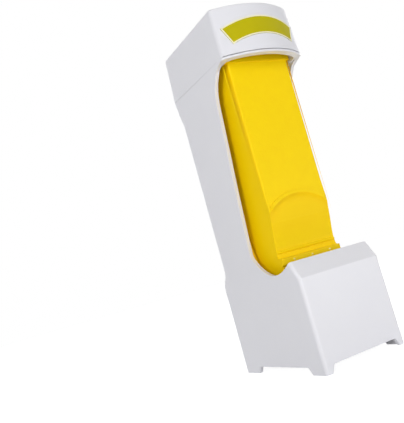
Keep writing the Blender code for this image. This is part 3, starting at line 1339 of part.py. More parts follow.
def build_pawl(side, name, pocket_front, width, crest):
    """A leaf of spring steel: a foot on the follower's floor and a leaf that leans out to its tip."""
    back = CHUTE_INNER - FOLLOWER_CLEARANCE - FOLLOWER_POCKET_DEPTH + RUN_GAP
    foot = FOLLOWER_BOTTOM + FOLLOWER_FLOOR + SEAT_GAP
    tip = crest - PAWL_TIP_GAP
    top = foot + PAWL_LENGTH
    outline = [
        (back, foot),
        (back + PAWL_THICKNESS, foot),
        (back + PAWL_THICKNESS, foot + PAWL_FOOT_HEIGHT),
        (tip, top - PAWL_THICKNESS),
        (tip, top),
        (tip - PAWL_THICKNESS, top),
        (back, foot + PAWL_FOOT_HEIGHT + PAWL_THICKNESS),
    ]
    outline = [(side * u, v) for u, v in outline]
    front = pocket_front + PAWL_SIDE_GAP
    full_name = f"{name}_left" if side < 0 else f"{name}_right"
    return steel(prism(full_name, outline, "Y", front, pocket_front + width - PAWL_SIDE_GAP))


def build_spring():
    """A compression coil between the handle and the chute, one unbroken wire."""
    start = handle_face_y(SPRING_Z) + HANDLE_FACE_WALL + SPRING_WIRE + SEAT_GAP
    end = CHUTE_FRONT - SPRING_WIRE - SEAT_GAP
    curve = bpy.data.curves.new("return_spring", "CURVE")
    curve.dimensions = "3D"
    curve.bevel_depth = SPRING_WIRE
    curve.bevel_resolution = 1
    curve.use_fill_caps = True
    wire = curve.splines.new("POLY")
    count = SPRING_TURNS * SPRING_TURN_POINTS
    wire.points.add(count)
    for index in range(count + 1):
        angle = math.tau * index / SPRING_TURN_POINTS
        x = SPRING_RADIUS * math.cos(angle)
        y = start + (end - start) * index / count
        wire.points[index].co = (x, y, SPRING_Z + SPRING_RADIUS * math.sin(angle), 1)
    guide = bpy.data.objects.new("return_spring", curve)
    bpy.context.scene.collection.objects.link(guide)
    bpy.context.view_layer.update()
    mesh = bpy.data.meshes.new_from_object(guide.evaluated_get(bpy.context.evaluated_depsgraph_get()))
    bpy.data.objects.remove(guide)
    spring = bpy.data.objects.new("return_spring", mesh)
    bpy.context.scene.collection.objects.link(spring)
    return steel(spring)


def main():
    for old in list(bpy.data.objects):
        bpy.data.objects.remove(old)

    still = hinge_empty("housing_frame", (0, 0, 0))
    for piece in (build_housing(), build_chute(), build_slide_frame(), build_handle_pin()):
        hang(piece, still)
    top, bottom = screw_places()
    for name, x, y in top:
        hang(build_screw(name, x, y, FLANGE_TOP + SCREW_HEAD_HEIGHT, -1), still)
    for name, x, y in bottom:
        hang(build_screw(name, x, y, FRAME_BOTTOM, 1), still)
    hang(build_spring(), still)

    cap_slide = hinge_empty("cap_slide", (0, 0, CAP_BOTTOM))
    hang(build_cap(), cap_slide)
    hang(build_label(), cap_slide)

    hang(build_handle(), hinge_empty("handle_hinge", (0, *HANDLE_PIVOT)))
    blade_slide = hinge_empty("blade_slide", (0, BLADE_EDGE_Y, BLADE_TOP))
    hang(build_carriage(), blade_slide)
    hang(build_blade(), blade_slide)
    for name, x, y in rivet_places():
        hang(build_rivet(name, x, y), blade_slide)
    follower_slide = hinge_empty("follower_slide", (0, CHUTE_MIDDLE, FOLLOWER_BOTTOM))
    hang(build_follower(), follower_slide)

    for side, word in ((-1, "left"), (1, "right")):
        middle = side * (ROCKER_INNER + ROCKER_OUTER) / 2
        hang(build_rocker(side), hinge_empty(f"rocker_hinge_{word}", (middle, *ROCKER_PIVOT)))
        hang(build_rocker_pin(side), still)
        lug = (side * (RACK_INNER + RACK_OUTER) / 2, *LIFT_STUD)
        hang(build_rack(side), hinge_empty(f"feed_rack_slide_{word}", lug))
        for name, pocket_front, width, crest in pawl_places():
            hang(build_pawl(side, name, pocket_front, width, crest), follower_slide)


main()
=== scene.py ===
"""The look of a butter slicer with a squeeze handle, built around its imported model.

A white moulded housing and cap, a grained yellow handle, an olive band on the cap's front, and the
plastic and steel mechanism behind the window. Metres, +Z up, and -Y is the front with the handle.
"""

import json
import logging
import math
from collections.abc import Callable, Iterator
from contextlib import contextmanager
from dataclasses import dataclass, field
from enum import Enum

import bmesh
import bpy
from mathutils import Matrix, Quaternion, Vector


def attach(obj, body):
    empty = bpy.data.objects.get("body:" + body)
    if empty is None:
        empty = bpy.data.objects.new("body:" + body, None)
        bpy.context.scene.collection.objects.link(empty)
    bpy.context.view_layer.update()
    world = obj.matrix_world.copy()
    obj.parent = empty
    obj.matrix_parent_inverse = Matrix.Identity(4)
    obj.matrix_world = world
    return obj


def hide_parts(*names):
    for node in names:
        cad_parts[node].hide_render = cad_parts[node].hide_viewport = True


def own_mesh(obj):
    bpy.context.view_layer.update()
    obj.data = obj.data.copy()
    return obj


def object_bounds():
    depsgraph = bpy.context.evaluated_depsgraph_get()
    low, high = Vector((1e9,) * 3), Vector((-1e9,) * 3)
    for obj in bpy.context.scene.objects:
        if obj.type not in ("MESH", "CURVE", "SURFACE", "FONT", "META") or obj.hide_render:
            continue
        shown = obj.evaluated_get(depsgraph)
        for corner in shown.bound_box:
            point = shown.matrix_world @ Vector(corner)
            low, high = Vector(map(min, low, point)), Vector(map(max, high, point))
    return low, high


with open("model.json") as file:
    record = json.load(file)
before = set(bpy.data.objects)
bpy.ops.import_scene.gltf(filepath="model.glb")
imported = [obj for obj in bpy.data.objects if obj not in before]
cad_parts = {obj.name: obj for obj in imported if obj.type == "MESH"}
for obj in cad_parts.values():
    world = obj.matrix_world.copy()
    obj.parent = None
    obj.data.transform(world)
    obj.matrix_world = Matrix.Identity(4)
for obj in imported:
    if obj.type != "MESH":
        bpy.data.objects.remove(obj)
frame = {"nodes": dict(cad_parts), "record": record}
CAD_BOX = [list(corner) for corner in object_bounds()]

LOG = logging.getLogger("butter_slicer")
Colour = tuple[float, float, float]
Place = tuple[float, float, float]
Line = tuple[float, ...]
EdgeTest = Callable[[bmesh.types.BMEdge], bool]
Ramp = tuple[bpy.types.NodeSocket, float, float, float, float]
MIDDLE: Place = tuple((low + high) / 2 for low, high in zip(*CAD_BOX))

# Limits for the work on meshes: lengths in metres, angles in degrees.
MERGE_DISTANCE = 0.000002
NEAR = 0.0002
SLACK = 0.0001
EXACT = 0.00002
FLAT_WITHIN = 0.3
SHARP_BEND = 22.0
FLAT_ANGLE = 38.0
ROUND_ANGLE = 60.0
NORMAL_WEIGHT = 100

# Shares and details of the procedural surfaces.
MOTTLE_DETAIL = 3.0
MOTTLE_WARP = 0.4
GRAIN_DETAIL = 2.0
# How much painted shade the hollows between the pebbles get.
HOLLOW_PAINTED_SHADE = 0.5
NOISE_MIDDLE = 0.5
MARK_DETAIL = 3.0
MARK_SHADE = 0.9
MARK_ROUGHNESS = 0.12


class Slot(Enum):
    """The record's material slots."""

    WHITE_SHELL = "white_shell"
    WHITE_INNER = "white_inner"
    NATURAL_PLASTIC = "natural_plastic"
    YELLOW_HANDLE = "yellow_handle"
    YELLOW_INNER = "yellow_inner"
    LABEL = "label"
    STEEL = "steel"
    BLADE_STEEL = "blade_steel"
    SPRING_STEEL = "spring_steel"


class Body(Enum):
    """The moving bodies that new pieces ride on."""

    HOUSING = "body"
    CAP = "cap"
    HANDLE = "handle"


def ramps_product(
    nodes: bpy.types.Nodes, links: bpy.types.NodeLinks, ramps: tuple[Ramp, ...]
) -> bpy.types.NodeSocket:
    """Multiplies ramps, each held level past its ends.

    Args:
        nodes: The material's nodes.
        links: The material's links.
        ramps: For each, its source, the source's two ends, and the ramp's value at each.

    Returns:
        The socket that gives the product.
    """
    result = None
    for source, low, high, first, last in ramps:
        share = nodes.new("ShaderNodeMapRange")
        ends = {"From Min": low, "From Max": high, "To Min": first, "To Max": last}
        for name, value in ends.items():
            share.inputs[name].default_value = value
        links.new(source, share.inputs["Value"])
        if result is None:
            result = share.outputs["Result"]
            continue
        both = nodes.new("ShaderNodeMath")
        both.operation = "MULTIPLY"
        links.new(result, both.inputs[0])
        links.new(share.outputs["Result"], both.inputs[1])
        result = both.outputs[0]
    return result


@dataclass(frozen=True)
class FlankPaintedShade:
    """Painted shade on a piece's two flat sides, which face along X, laid on as a deeper colour.
    Lengths are in metres.
    """

    half_width: float
    colour: Colour
    blend: float = 0.0003

    def mask(self, nodes: bpy.types.Nodes, links: bpy.types.NodeLinks) -> bpy.types.NodeSocket:
        """Makes the mask of the sides, over Object coordinates.

        Args:
            nodes: The material's nodes.
            links: The material's links.

        Returns:
            The socket that gives the mask.
        """
        place = nodes.new("ShaderNodeTexCoord")
        apart = nodes.new("ShaderNodeSeparateXYZ")
        outwards = nodes.new("ShaderNodeMath")
        outwards.operation = "ABSOLUTE"
        links.new(place.outputs["Object"], apart.inputs[0])
        links.new(apart.outputs["X"], outwards.inputs[0])
        inner = self.half_width - self.blend
        ramp = (outwards.outputs[0], inner, self.half_width, 0.0, 1.0)
        return ramps_product(nodes, links, (ramp,))


@dataclass(frozen=True)
class RecessPaintedShade:
    """Painted shade in a round recess in a face that looks along Y, laid on as a deeper colour.

    The middle is its place along X and Z. The colour is strongest at the wall and eases towards
    the middle and the foot. Lengths are in metres.
    """

    middle: tuple[float, float]
    radius: float
    colour: Colour
    wall: float = 0.0005
    reach: float = 0.006
    floor_share: float = 0.45
    foot_low: float = 0.0765
    foot_high: float = 0.0860

    def mask(self, nodes: bpy.types.Nodes, links: bpy.types.NodeLinks) -> bpy.types.NodeSocket:
        """Makes the mask of the recess, over Object coordinates.

        Args:
            nodes: The material's nodes.
            links: The material's links.

        Returns:
            The socket that gives the mask.
        """
        place = nodes.new("ShaderNodeTexCoord")
        across = nodes.new("ShaderNodeVectorMath")
        across.operation = "MULTIPLY"
        across.inputs[1].default_value = (1.0, 0.0, 1.0)
        far = nodes.new("ShaderNodeVectorMath")
        far.operation = "DISTANCE"
        far.inputs[1].default_value = (self.middle[0], 0.0, self.middle[1])
        apart = nodes.new("ShaderNodeSeparateXYZ")
        links.new(place.outputs["Object"], across.inputs[0])
        links.new(across.outputs["Vector"], far.inputs[0])
        links.new(place.outputs["Object"], apart.inputs[0])
        distance = far.outputs["Value"]
        edge = self.wall / 2
        # The painted shade is darkest at the wall under the band and fades towards the middle and
        # the foot.
        ramps = (
            (distance, self.radius + edge, self.radius - edge, 0.0, 1.0),
            (distance, self.radius - self.reach, self.radius, self.floor_share, 1.0),
            (apart.outputs["Z"], self.foot_low, self.foot_high, 0.0, 1.0),
        )
        return ramps_product(nodes, links, ramps)


@dataclass(frozen=True)
class MouldedPlastic:
    """A moulded plastic finish with soft mottling and a fine or pebbled grain.

    Lengths are in metres. Grain and mottle are the sizes of their patterns, depth is how deep the
    grain is, and pebble is how far it goes from a fine peel towards a leather-like grain, whose
    hollows get painted shade. Painted shades put a deeper colour where their masks say shade
    falls.
    """

    name: str
    colour: Colour
    deep_colour: Colour
    roughness: float
    grain: float
    depth: float
    pebble: float = 0.0
    mottle: float = 0.018
    spread: float = 0.05
    gloss: float = 0.5
    painted_shades: tuple[RecessPaintedShade | FlankPaintedShade, ...] = ()

    def material(self) -> bpy.types.Material:
        """Makes the material.

        Returns:
            A material with the finish's name.
        """
        made = bpy.data.materials.new(self.name)
        made.use_nodes = True
        nodes = made.node_tree.nodes
        links = made.node_tree.links
        shader = nodes["Principled BSDF"]
        shader.inputs["Specular IOR Level"].default_value = self.gloss
        surface = nodes.new("ShaderNodeGroup")
        surface.node_tree = moulded_surface_group()
        surface.inputs["Colour"].default_value = (*self.colour, 1.0)
        surface.inputs["Deep colour"].default_value = (*self.deep_colour, 1.0)
        surface.inputs["Mottle per metre"].default_value = 1.0 / self.mottle
        surface.inputs["Grain per metre"].default_value = 1.0 / self.grain
        surface.inputs["Pebble"].default_value = self.pebble
        surface.inputs["Roughness"].default_value = self.roughness
        surface.inputs["Roughness spread"].default_value = self.spread
        bump = nodes.new("ShaderNodeBump")
        bump.inputs["Strength"].default_value = 1.0
        bump.inputs["Distance"].default_value = self.depth
        colour = surface.outputs["Colour"]
        # Each painted shade mixes its deeper colour in where its mask says shade falls.
        for part in self.painted_shades:
            tint = nodes.new("ShaderNodeMix")
            tint.data_type = "RGBA"
            tint.inputs["B"].default_value = (*part.colour, 1.0)
            links.new(part.mask(nodes, links), tint.inputs["Factor"])
            links.new(colour, tint.inputs["A"])
            colour = tint.outputs["Result"]
        links.new(colour, shader.inputs["Base Color"])
        links.new(surface.outputs["Roughness"], shader.inputs["Roughness"])
        links.new(surface.outputs["Height"], bump.inputs["Height"])
        links.new(bump.outputs["Normal"], shader.inputs["Normal"])
        return made


@dataclass(frozen=True)
class Steel:
    """A steel finish with fine marks drawn out along one axis of the object.

    Grain holds the pattern's size in metres along X, Y and Z.
    """

    name: str
    colour: Colour
    roughness: float
    grain: Place
    depth: float

    def material(self) -> bpy.types.Material:
        """Makes the material.

        Returns:
            A material with the finish's name.
        """
        made = bpy.data.materials.new(self.name)
        made.use_nodes = True
        nodes = made.node_tree.nodes
        links = made.node_tree.links
        shader = nodes["Principled BSDF"]
        shader.inputs["Metallic"].default_value = 1.0
        surface = nodes.new("ShaderNodeGroup")
        surface.node_tree = drawn_metal_group()
        surface.inputs["Colour"].default_value = (*self.colour, 1.0)
        surface.inputs["Marks per metre"].default_value = tuple(1.0 / size for size in self.grain)
        surface.inputs["Roughness"].default_value = self.roughness
        bump = nodes.new("ShaderNodeBump")
        bump.inputs["Distance"].default_value = self.depth
        links.new(surface.outputs["Colour"], shader.inputs["Base Color"])
        links.new(surface.outputs["Roughness"], shader.inputs["Roughness"])
        links.new(surface.outputs["Height"], bump.inputs["Height"])
        links.new(bump.outputs["Normal"], shader.inputs["Normal"])
        return made


FINISHES: dict[Slot, MouldedPlastic | Steel] = {
    Slot.WHITE_SHELL: MouldedPlastic(
        name="white_shell",
        colour=(0.795, 0.795, 0.835),
        deep_colour=(0.775, 0.775, 0.82),
        roughness=0.34,
        grain=0.0005,
        depth=0.000012,
        gloss=0.42,
    ),
    Slot.WHITE_INNER: MouldedPlastic(
        name="white_inner",
        colour=(0.78, 0.78, 0.80),
        deep_colour=(0.74, 0.74, 0.77),
        roughness=0.46,
        grain=0.0005,
        depth=0.00002,
    ),
    Slot.NATURAL_PLASTIC: MouldedPlastic(
        name="natural_plastic",
        colour=(0.76, 0.78, 0.78),
        deep_colour=(0.72, 0.74, 0.75),
        roughness=0.28,
        grain=0.0006,
        depth=0.000012,
    ),
    Slot.YELLOW_HANDLE: MouldedPlastic(
        name="yellow_handle",
        colour=(1.0, 0.72, 0.001),
        deep_colour=(0.97, 0.665, 0.001),
        roughness=0.46,
        grain=0.0009,
        depth=0.00007,
        pebble=0.8,
        mottle=0.006,
        gloss=0.13,
        # Painted shade: a deeper colour in the recess under the band and on the sides, which get
        # less light.
        painted_shades=(
            RecessPaintedShade(middle=(0.0, 0.0712), radius=0.0335, colour=(0.94, 0.60, 0.0)),
            FlankPaintedShade(half_width=0.0231, colour=(1.0, 0.68, 0.0)),
        ),
    ),
    Slot.YELLOW_INNER: MouldedPlastic(
        name="yellow_inner",
        colour=(0.97, 0.67, 0.002),
        deep_colour=(0.92, 0.61, 0.002),
        roughness=0.50,
        grain=0.0006,
        depth=0.00002,
        gloss=0.2,
    ),
    Slot.LABEL: MouldedPlastic(
        name="label",
        colour=(0.53, 0.465, 0.001),
        deep_colour=(0.49, 0.43, 0.001),
        roughness=0.50,
        grain=0.0007,
        depth=0.00002,
        gloss=0.15,
    ),
    Slot.STEEL: Steel(
        name="steel",
        colour=(0.62, 0.62, 0.63),
        roughness=0.28,
        grain=(0.0006, 0.0006, 0.00015),
        depth=0.00001,
    ),
    Slot.BLADE_STEEL: Steel(
        name="blade_steel",
        colour=(0.66, 0.66, 0.67),
        roughness=0.22,
        grain=(0.0002, 0.006, 0.0002),
        depth=0.00001,
    ),
    Slot.SPRING_STEEL: Steel(
        name="spring_steel",
        colour=(0.50, 0.50, 0.52),
        roughness=0.30,
        grain=(0.0003, 0.0003, 0.0003),
        depth=0.00001,
    ),
}
BORDER_FINISH = MouldedPlastic(
    name="label_border",
    colour=(0.93, 0.90, 0.62),
    deep_colour=(0.91, 0.87, 0.57),
    roughness=0.40,
    grain=0.0006,
    depth=0.00001,
    gloss=0.3,
)
# The pips' paler colour is a painted highlight. Their low roughness is their own gloss.
PIP_FINISH = MouldedPlastic(
    name="glossy_pips_painted_highlight",
    colour=(1.0, 0.84, 0.22),
    deep_colour=(0.98, 0.80, 0.18),
    roughness=0.18,
    grain=0.0006,
    depth=0.00001,
)


def add_sockets(
    group: bpy.types.ShaderNodeTree, inputs: dict[str, str], outputs: dict[str, str]
) -> None:
    """Gives a node group its named sockets.

    Args:
        group: The node group.
        inputs: Socket type by name.
        outputs: Socket type by name.
    """
    for direction, sockets in (("INPUT", inputs), ("OUTPUT", outputs)):
        for name, kind in sockets.items():
            group.interface.new_socket(name=name, in_out=direction, socket_type=kind)


def noise(nodes: bpy.types.Nodes, detail: float, distortion: float = 0.0) -> bpy.types.Node:
    """Adds a noise texture to a node tree.

    Args:
        nodes: The tree's nodes.
        detail: How many finer layers it has.
        distortion: How much it is warped.

    Returns:
        The texture node.
    """
    texture = nodes.new("ShaderNodeTexNoise")
    texture.inputs["Detail"].default_value = detail
    texture.inputs["Distortion"].default_value = distortion
    return texture


def moulded_surface_group() -> bpy.types.ShaderNodeTree:
    """Colour, roughness and height of moulded plastic, over Object coordinates.

    Returns:
        The node group, made on the first call.
    """
    name = "moulded surface"
    if name in bpy.data.node_groups:
        return bpy.data.node_groups[name]
    group = bpy.data.node_groups.new(name, "ShaderNodeTree")
    scalar = "NodeSocketFloat"
    add_sockets(
        group,
        {
            "Colour": "NodeSocketColor",
            "Deep colour": "NodeSocketColor",
            "Mottle per metre": scalar,
            "Grain per metre": scalar,
            "Pebble": scalar,
            "Roughness": scalar,
            "Roughness spread": scalar,
        },
        {"Colour": "NodeSocketColor", "Roughness": scalar, "Height": scalar},
    )
    nodes = group.nodes
    links = group.links
    given = nodes.new("NodeGroupInput")
    result = nodes.new("NodeGroupOutput")
    place = nodes.new("ShaderNodeTexCoord")
    mottle = noise(nodes, MOTTLE_DETAIL, MOTTLE_WARP)
    grain = noise(nodes, GRAIN_DETAIL)
    pebbles = nodes.new("ShaderNodeTexVoronoi")
    pebbles.feature = "SMOOTH_F1"
    for texture, scale in (
        (mottle, "Mottle per metre"),
        (grain, "Grain per metre"),
        (pebbles, "Grain per metre"),
    ):
        links.new(place.outputs["Object"], texture.inputs["Vector"])
        links.new(given.outputs[scale], texture.inputs["Scale"])
    crown = nodes.new("ShaderNodeMath")
    crown.operation = "SUBTRACT"
    crown.inputs[0].default_value = 1.0
    links.new(pebbles.outputs["Distance"], crown.inputs[1])
    height = nodes.new("ShaderNodeMix")
    links.new(given.outputs["Pebble"], height.inputs["Factor"])
    links.new(grain.outputs["Fac"], height.inputs["A"])
    links.new(crown.outputs[0], height.inputs["B"])
    # The hollows between the pebbles take the deep colour as painted shade, on top of the mottle's
    # random tone.
    shade = nodes.new("ShaderNodeMath")
    shade.operation = "MULTIPLY_ADD"
    painted_hollow_shade = nodes.new("ShaderNodeMath")
    painted_hollow_shade.operation = "MULTIPLY"
    links.new(pebbles.outputs["Distance"], painted_hollow_shade.inputs[0])
    links.new(given.outputs["Pebble"], painted_hollow_shade.inputs[1])
    links.new(painted_hollow_shade.outputs[0], shade.inputs[0])
    shade.inputs[1].default_value = HOLLOW_PAINTED_SHADE
    links.new(mottle.outputs["Fac"], shade.inputs[2])
    blend = nodes.new("ShaderNodeMix")
    blend.data_type = "RGBA"
    links.new(shade.outputs[0], blend.inputs["Factor"])
    links.new(given.outputs["Colour"], blend.inputs["A"])
    links.new(given.outputs["Deep colour"], blend.inputs["B"])
    centred = nodes.new("ShaderNodeMath")
    centred.operation = "SUBTRACT"
    centred.inputs[1].default_value = NOISE_MIDDLE
    links.new(mottle.outputs["Fac"], centred.inputs[0])
    rough = nodes.new("ShaderNodeMath")
    rough.operation = "MULTIPLY_ADD"
    links.new(centred.outputs[0], rough.inputs[0])
    links.new(given.outputs["Roughness spread"], rough.inputs[1])
    links.new(given.outputs["Roughness"], rough.inputs[2])
    links.new(blend.outputs["Result"], result.inputs["Colour"])
    links.new(rough.outputs[0], result.inputs["Roughness"])
    links.new(height.outputs["Result"], result.inputs["Height"])
    return group


def drawn_metal_group() -> bpy.types.ShaderNodeTree:
    """Colour, roughness and height of ground or drawn metal, over Object coordinates.

    Returns:
        The node group, made on the first call.
    """
    name = "drawn metal"
    if name in bpy.data.node_groups:
        return bpy.data.node_groups[name]
    group = bpy.data.node_groups.new(name, "ShaderNodeTree")
    scalar = "NodeSocketFloat"
    add_sockets(
        group,
        {"Colour": "NodeSocketColor", "Marks per metre": "NodeSocketVector", "Roughness": scalar},
        {"Colour": "NodeSocketColor", "Roughness": scalar, "Height": scalar},
    )
    nodes = group.nodes
    links = group.links
    given = nodes.new("NodeGroupInput")
    result = nodes.new("NodeGroupOutput")
    place = nodes.new("ShaderNodeTexCoord")
    stretch = nodes.new("ShaderNodeVectorMath")
    stretch.operation = "MULTIPLY"
    marks = noise(nodes, MARK_DETAIL)
    marks.inputs["Scale"].default_value = 1.0
    links.new(place.outputs["Object"], stretch.inputs[0])
    links.new(given.outputs["Marks per metre"], stretch.inputs[1])
    links.new(stretch.outputs["Vector"], marks.inputs["Vector"])
    shade = nodes.new("ShaderNodeMapRange")
    shade.inputs["To Min"].default_value = MARK_SHADE
    shade.inputs["To Max"].default_value = 1.0
    tint = nodes.new("ShaderNodeVectorMath")
    tint.operation = "SCALE"
    rough = nodes.new("ShaderNodeMath")
    rough.operation = "MULTIPLY_ADD"
    rough.inputs[1].default_value = MARK_ROUGHNESS
    links.new(marks.outputs["Fac"], shade.inputs["Value"])
    links.new(given.outputs["Colour"], tint.inputs[0])
    links.new(shade.outputs["Result"], tint.inputs["Scale"])
    links.new(marks.outputs["Fac"], rough.inputs[0])
    links.new(given.outputs["Roughness"], rough.inputs[2])
    links.new(tint.outputs["Vector"], result.inputs["Colour"])
    links.new(rough.outputs[0], result.inputs["Roughness"])
    links.new(marks.outputs["Fac"], result.inputs["Height"])
    return group


def make_active(piece: bpy.types.Object) -> None:
    """Selects one piece alone and makes it the active one.

    Args:
        piece: The piece.
    """
    bpy.ops.object.select_all(action="DESELECT")
    piece.select_set(True)
    bpy.context.view_layer.objects.active = piece


@contextmanager
def editing(piece: bpy.types.Object, mode: str = "EDGE") -> Iterator[bmesh.types.BMesh]:
    """Holds a piece in edit mode with nothing selected.

    Args:
        piece: The piece.
        mode: The kind of element that is selected: VERT, EDGE or FACE.

    Yields:
        The mesh that is being edited.
    """
    make_active(piece)
    bpy.ops.object.mode_set(mode="EDIT")
    bpy.ops.mesh.select_mode(type=mode)
    bpy.ops.mesh.select_all(action="DESELECT")
    yield bmesh.from_edit_mesh(piece.data)
    bpy.ops.object.mode_set(mode="OBJECT")


def merged_copy(node: str, name: str) -> bpy.types.Object:
    """Copies a CAD node's mesh into a new piece, merges it and joins its flat triangles.

    Args:
        node: The CAD node.
        name: The new piece's name.

    Returns:
        The new piece, at the origin.
    """
    piece = bpy.data.objects.new(name, frame["nodes"][node].data.copy())
    bpy.context.scene.collection.objects.link(piece)
    piece.data.materials.clear()
    make_active(piece)
    bpy.ops.mesh.customdata_custom_splitnormals_clear()
    with editing(piece):
        bpy.ops.mesh.select_all(action="SELECT")
        bpy.ops.mesh.remove_doubles(threshold=MERGE_DISTANCE)
        bpy.ops.mesh.dissolve_limited(angle_limit=math.radians(FLAT_WITHIN))
    return piece


def round_edges(
    piece: bpy.types.Object,
    radius: float,
    steps: int,
    wanted: EdgeTest,
    bend: float = SHARP_BEND,
) -> None:
    """Bevels the sharp edges that a test accepts.

    Args:
        piece: The piece.
        radius: How far the rounding reaches from the edge.
        steps: The number of facets across it.
        wanted: Tells whether an edge is to be rounded.
        bend: The least angle between its faces, in degrees.
    """
    with editing(piece) as mesh:
        for edge in mesh.edges:
            closed = len(edge.link_faces) == 2
            if closed and edge.calc_face_angle(0.0) > math.radians(bend) and wanted(edge):
                edge.select_set(True)
        bmesh.update_edit_mesh(piece.data)
        if any(edge.select for edge in mesh.edges):
            bpy.ops.mesh.bevel(offset=radius, segments=steps, affect="EDGES", clamp_overlap=True)


def smooth(piece: bpy.types.Object, angle: float = FLAT_ANGLE) -> None:
    """Shades a piece smooth, and keeps its flat faces flat beside their roundings.

    Args:
        piece: The piece.
        angle: The angle above which an edge stays sharp, in degrees.
    """
    make_active(piece)
    bpy.ops.object.shade_smooth_by_angle(angle=math.radians(angle))
    weights = piece.modifiers.new("weights", "WEIGHTED_NORMAL")
    weights.keep_sharp = True
    weights.weight = NORMAL_WEIGHT
    bpy.ops.object.modifier_apply(modifier=weights.name)


def both_ends(edge: bmesh.types.BMEdge, test: Callable[[Vector], bool]) -> bool:
    """Tells whether both ends of an edge pass a test."""
    return test(edge.verts[0].co) and test(edge.verts[1].co)


def near(value: float, target: float, within: float = NEAR) -> bool:
    """Tells whether two lengths are the same but for a small slack."""
    return abs(value - target) < within


def along(value: float, places: Line, amounts: Line) -> float:
    """Reads an amount off a line of straight stretches.

    Args:
        value: The place to read it at.
        places: The places of the line's corners, rising.
        amounts: The amount at each corner.

    Returns:
        The amount, held level past both ends.
    """
    if value <= places[0]:
        return amounts[0]
    for low, high, first, last in zip(places, places[1:], amounts, amounts[1:]):
        if value <= high:
            return first + (last - first) * (value - low) / (high - low)
    return amounts[-1]


@dataclass(frozen=True)
class StudioCamera:
    """The photograph's view: from the front left, nearly level, with the object leaning."""

    place: Place = (-0.22076, -0.29495, 0.06890)
    heading: float = math.radians(29.310)
    tilt: float = math.radians(6.623)
    roll: float = math.radians(-15.506)
    lens_mm: float = 49.692
    sensor_mm: float = 36.0

    def build(self) -> None:
        """Makes the camera and sets it as the scene's own."""
        camera = bpy.data.cameras.new("studio_camera")
        camera.lens = self.lens_mm
        camera.sensor_width = self.sensor_mm
        camera.sensor_fit = "HORIZONTAL"
        holder = bpy.data.objects.new("studio_camera", camera)
        bpy.context.scene.collection.objects.link(holder)
        level = math.cos(self.tilt)
        ahead = Vector(
            (math.sin(self.heading) * level, math.cos(self.heading) * level, math.sin(self.tilt))
        )
        turn = ahead.to_track_quat("-Z", "Y") @ Quaternion((0.0, 0.0, 1.0), self.roll)
        holder.rotation_mode = "QUATERNION"
        holder.rotation_quaternion = turn
        holder.location = self.place
        bpy.context.scene.camera = holder


@dataclass(frozen=True)
class Lamp:
    """A square area lamp that faces its aim. Lengths are in metres and the power in watts."""

    name: str
    place: Place
    size: float
    power: float
    aim: Place = MIDDLE

    def build(self) -> None:
        """Adds the lamp to the scene."""
        light = bpy.data.lights.new(self.name, "AREA")
        light.size = self.size
        light.energy = self.power
        holder = bpy.data.objects.new(self.name, light)
        bpy.context.scene.collection.objects.link(holder)
        holder.location = self.place
        holder.rotation_mode = "QUATERNION"
        ahead = Vector(self.aim) - Vector(self.place)
        holder.rotation_quaternion = ahead.to_track_quat("-Z", "Y")


# The low lamps face down in front of the object, so its top gets less of their light.
LOW_AIM: Place = (0.0, -0.20, -0.40)
LAMPS: tuple[Lamp, ...] = (
    Lamp("left_lamp", place=(-0.80, -0.52, 0.30), size=0.26, power=3.1),
    Lamp("front_lamp", place=(-0.14, -0.66, 0.09), size=0.30, power=1.26, aim=LOW_AIM),
    Lamp("sheen_lamp", place=(0.46, -0.66, 0.05), size=0.34, power=1.14, aim=LOW_AIM),
    Lamp("right_lamp", place=(0.80, 0.50, 0.45), size=0.50, power=2.2),
    Lamp("back_lamp", place=(0.05, 0.95, 0.50), size=0.60, power=2.3),
    Lamp("top_lamp", place=(0.0, 0.20, 1.05), size=0.50, power=0.9),
)


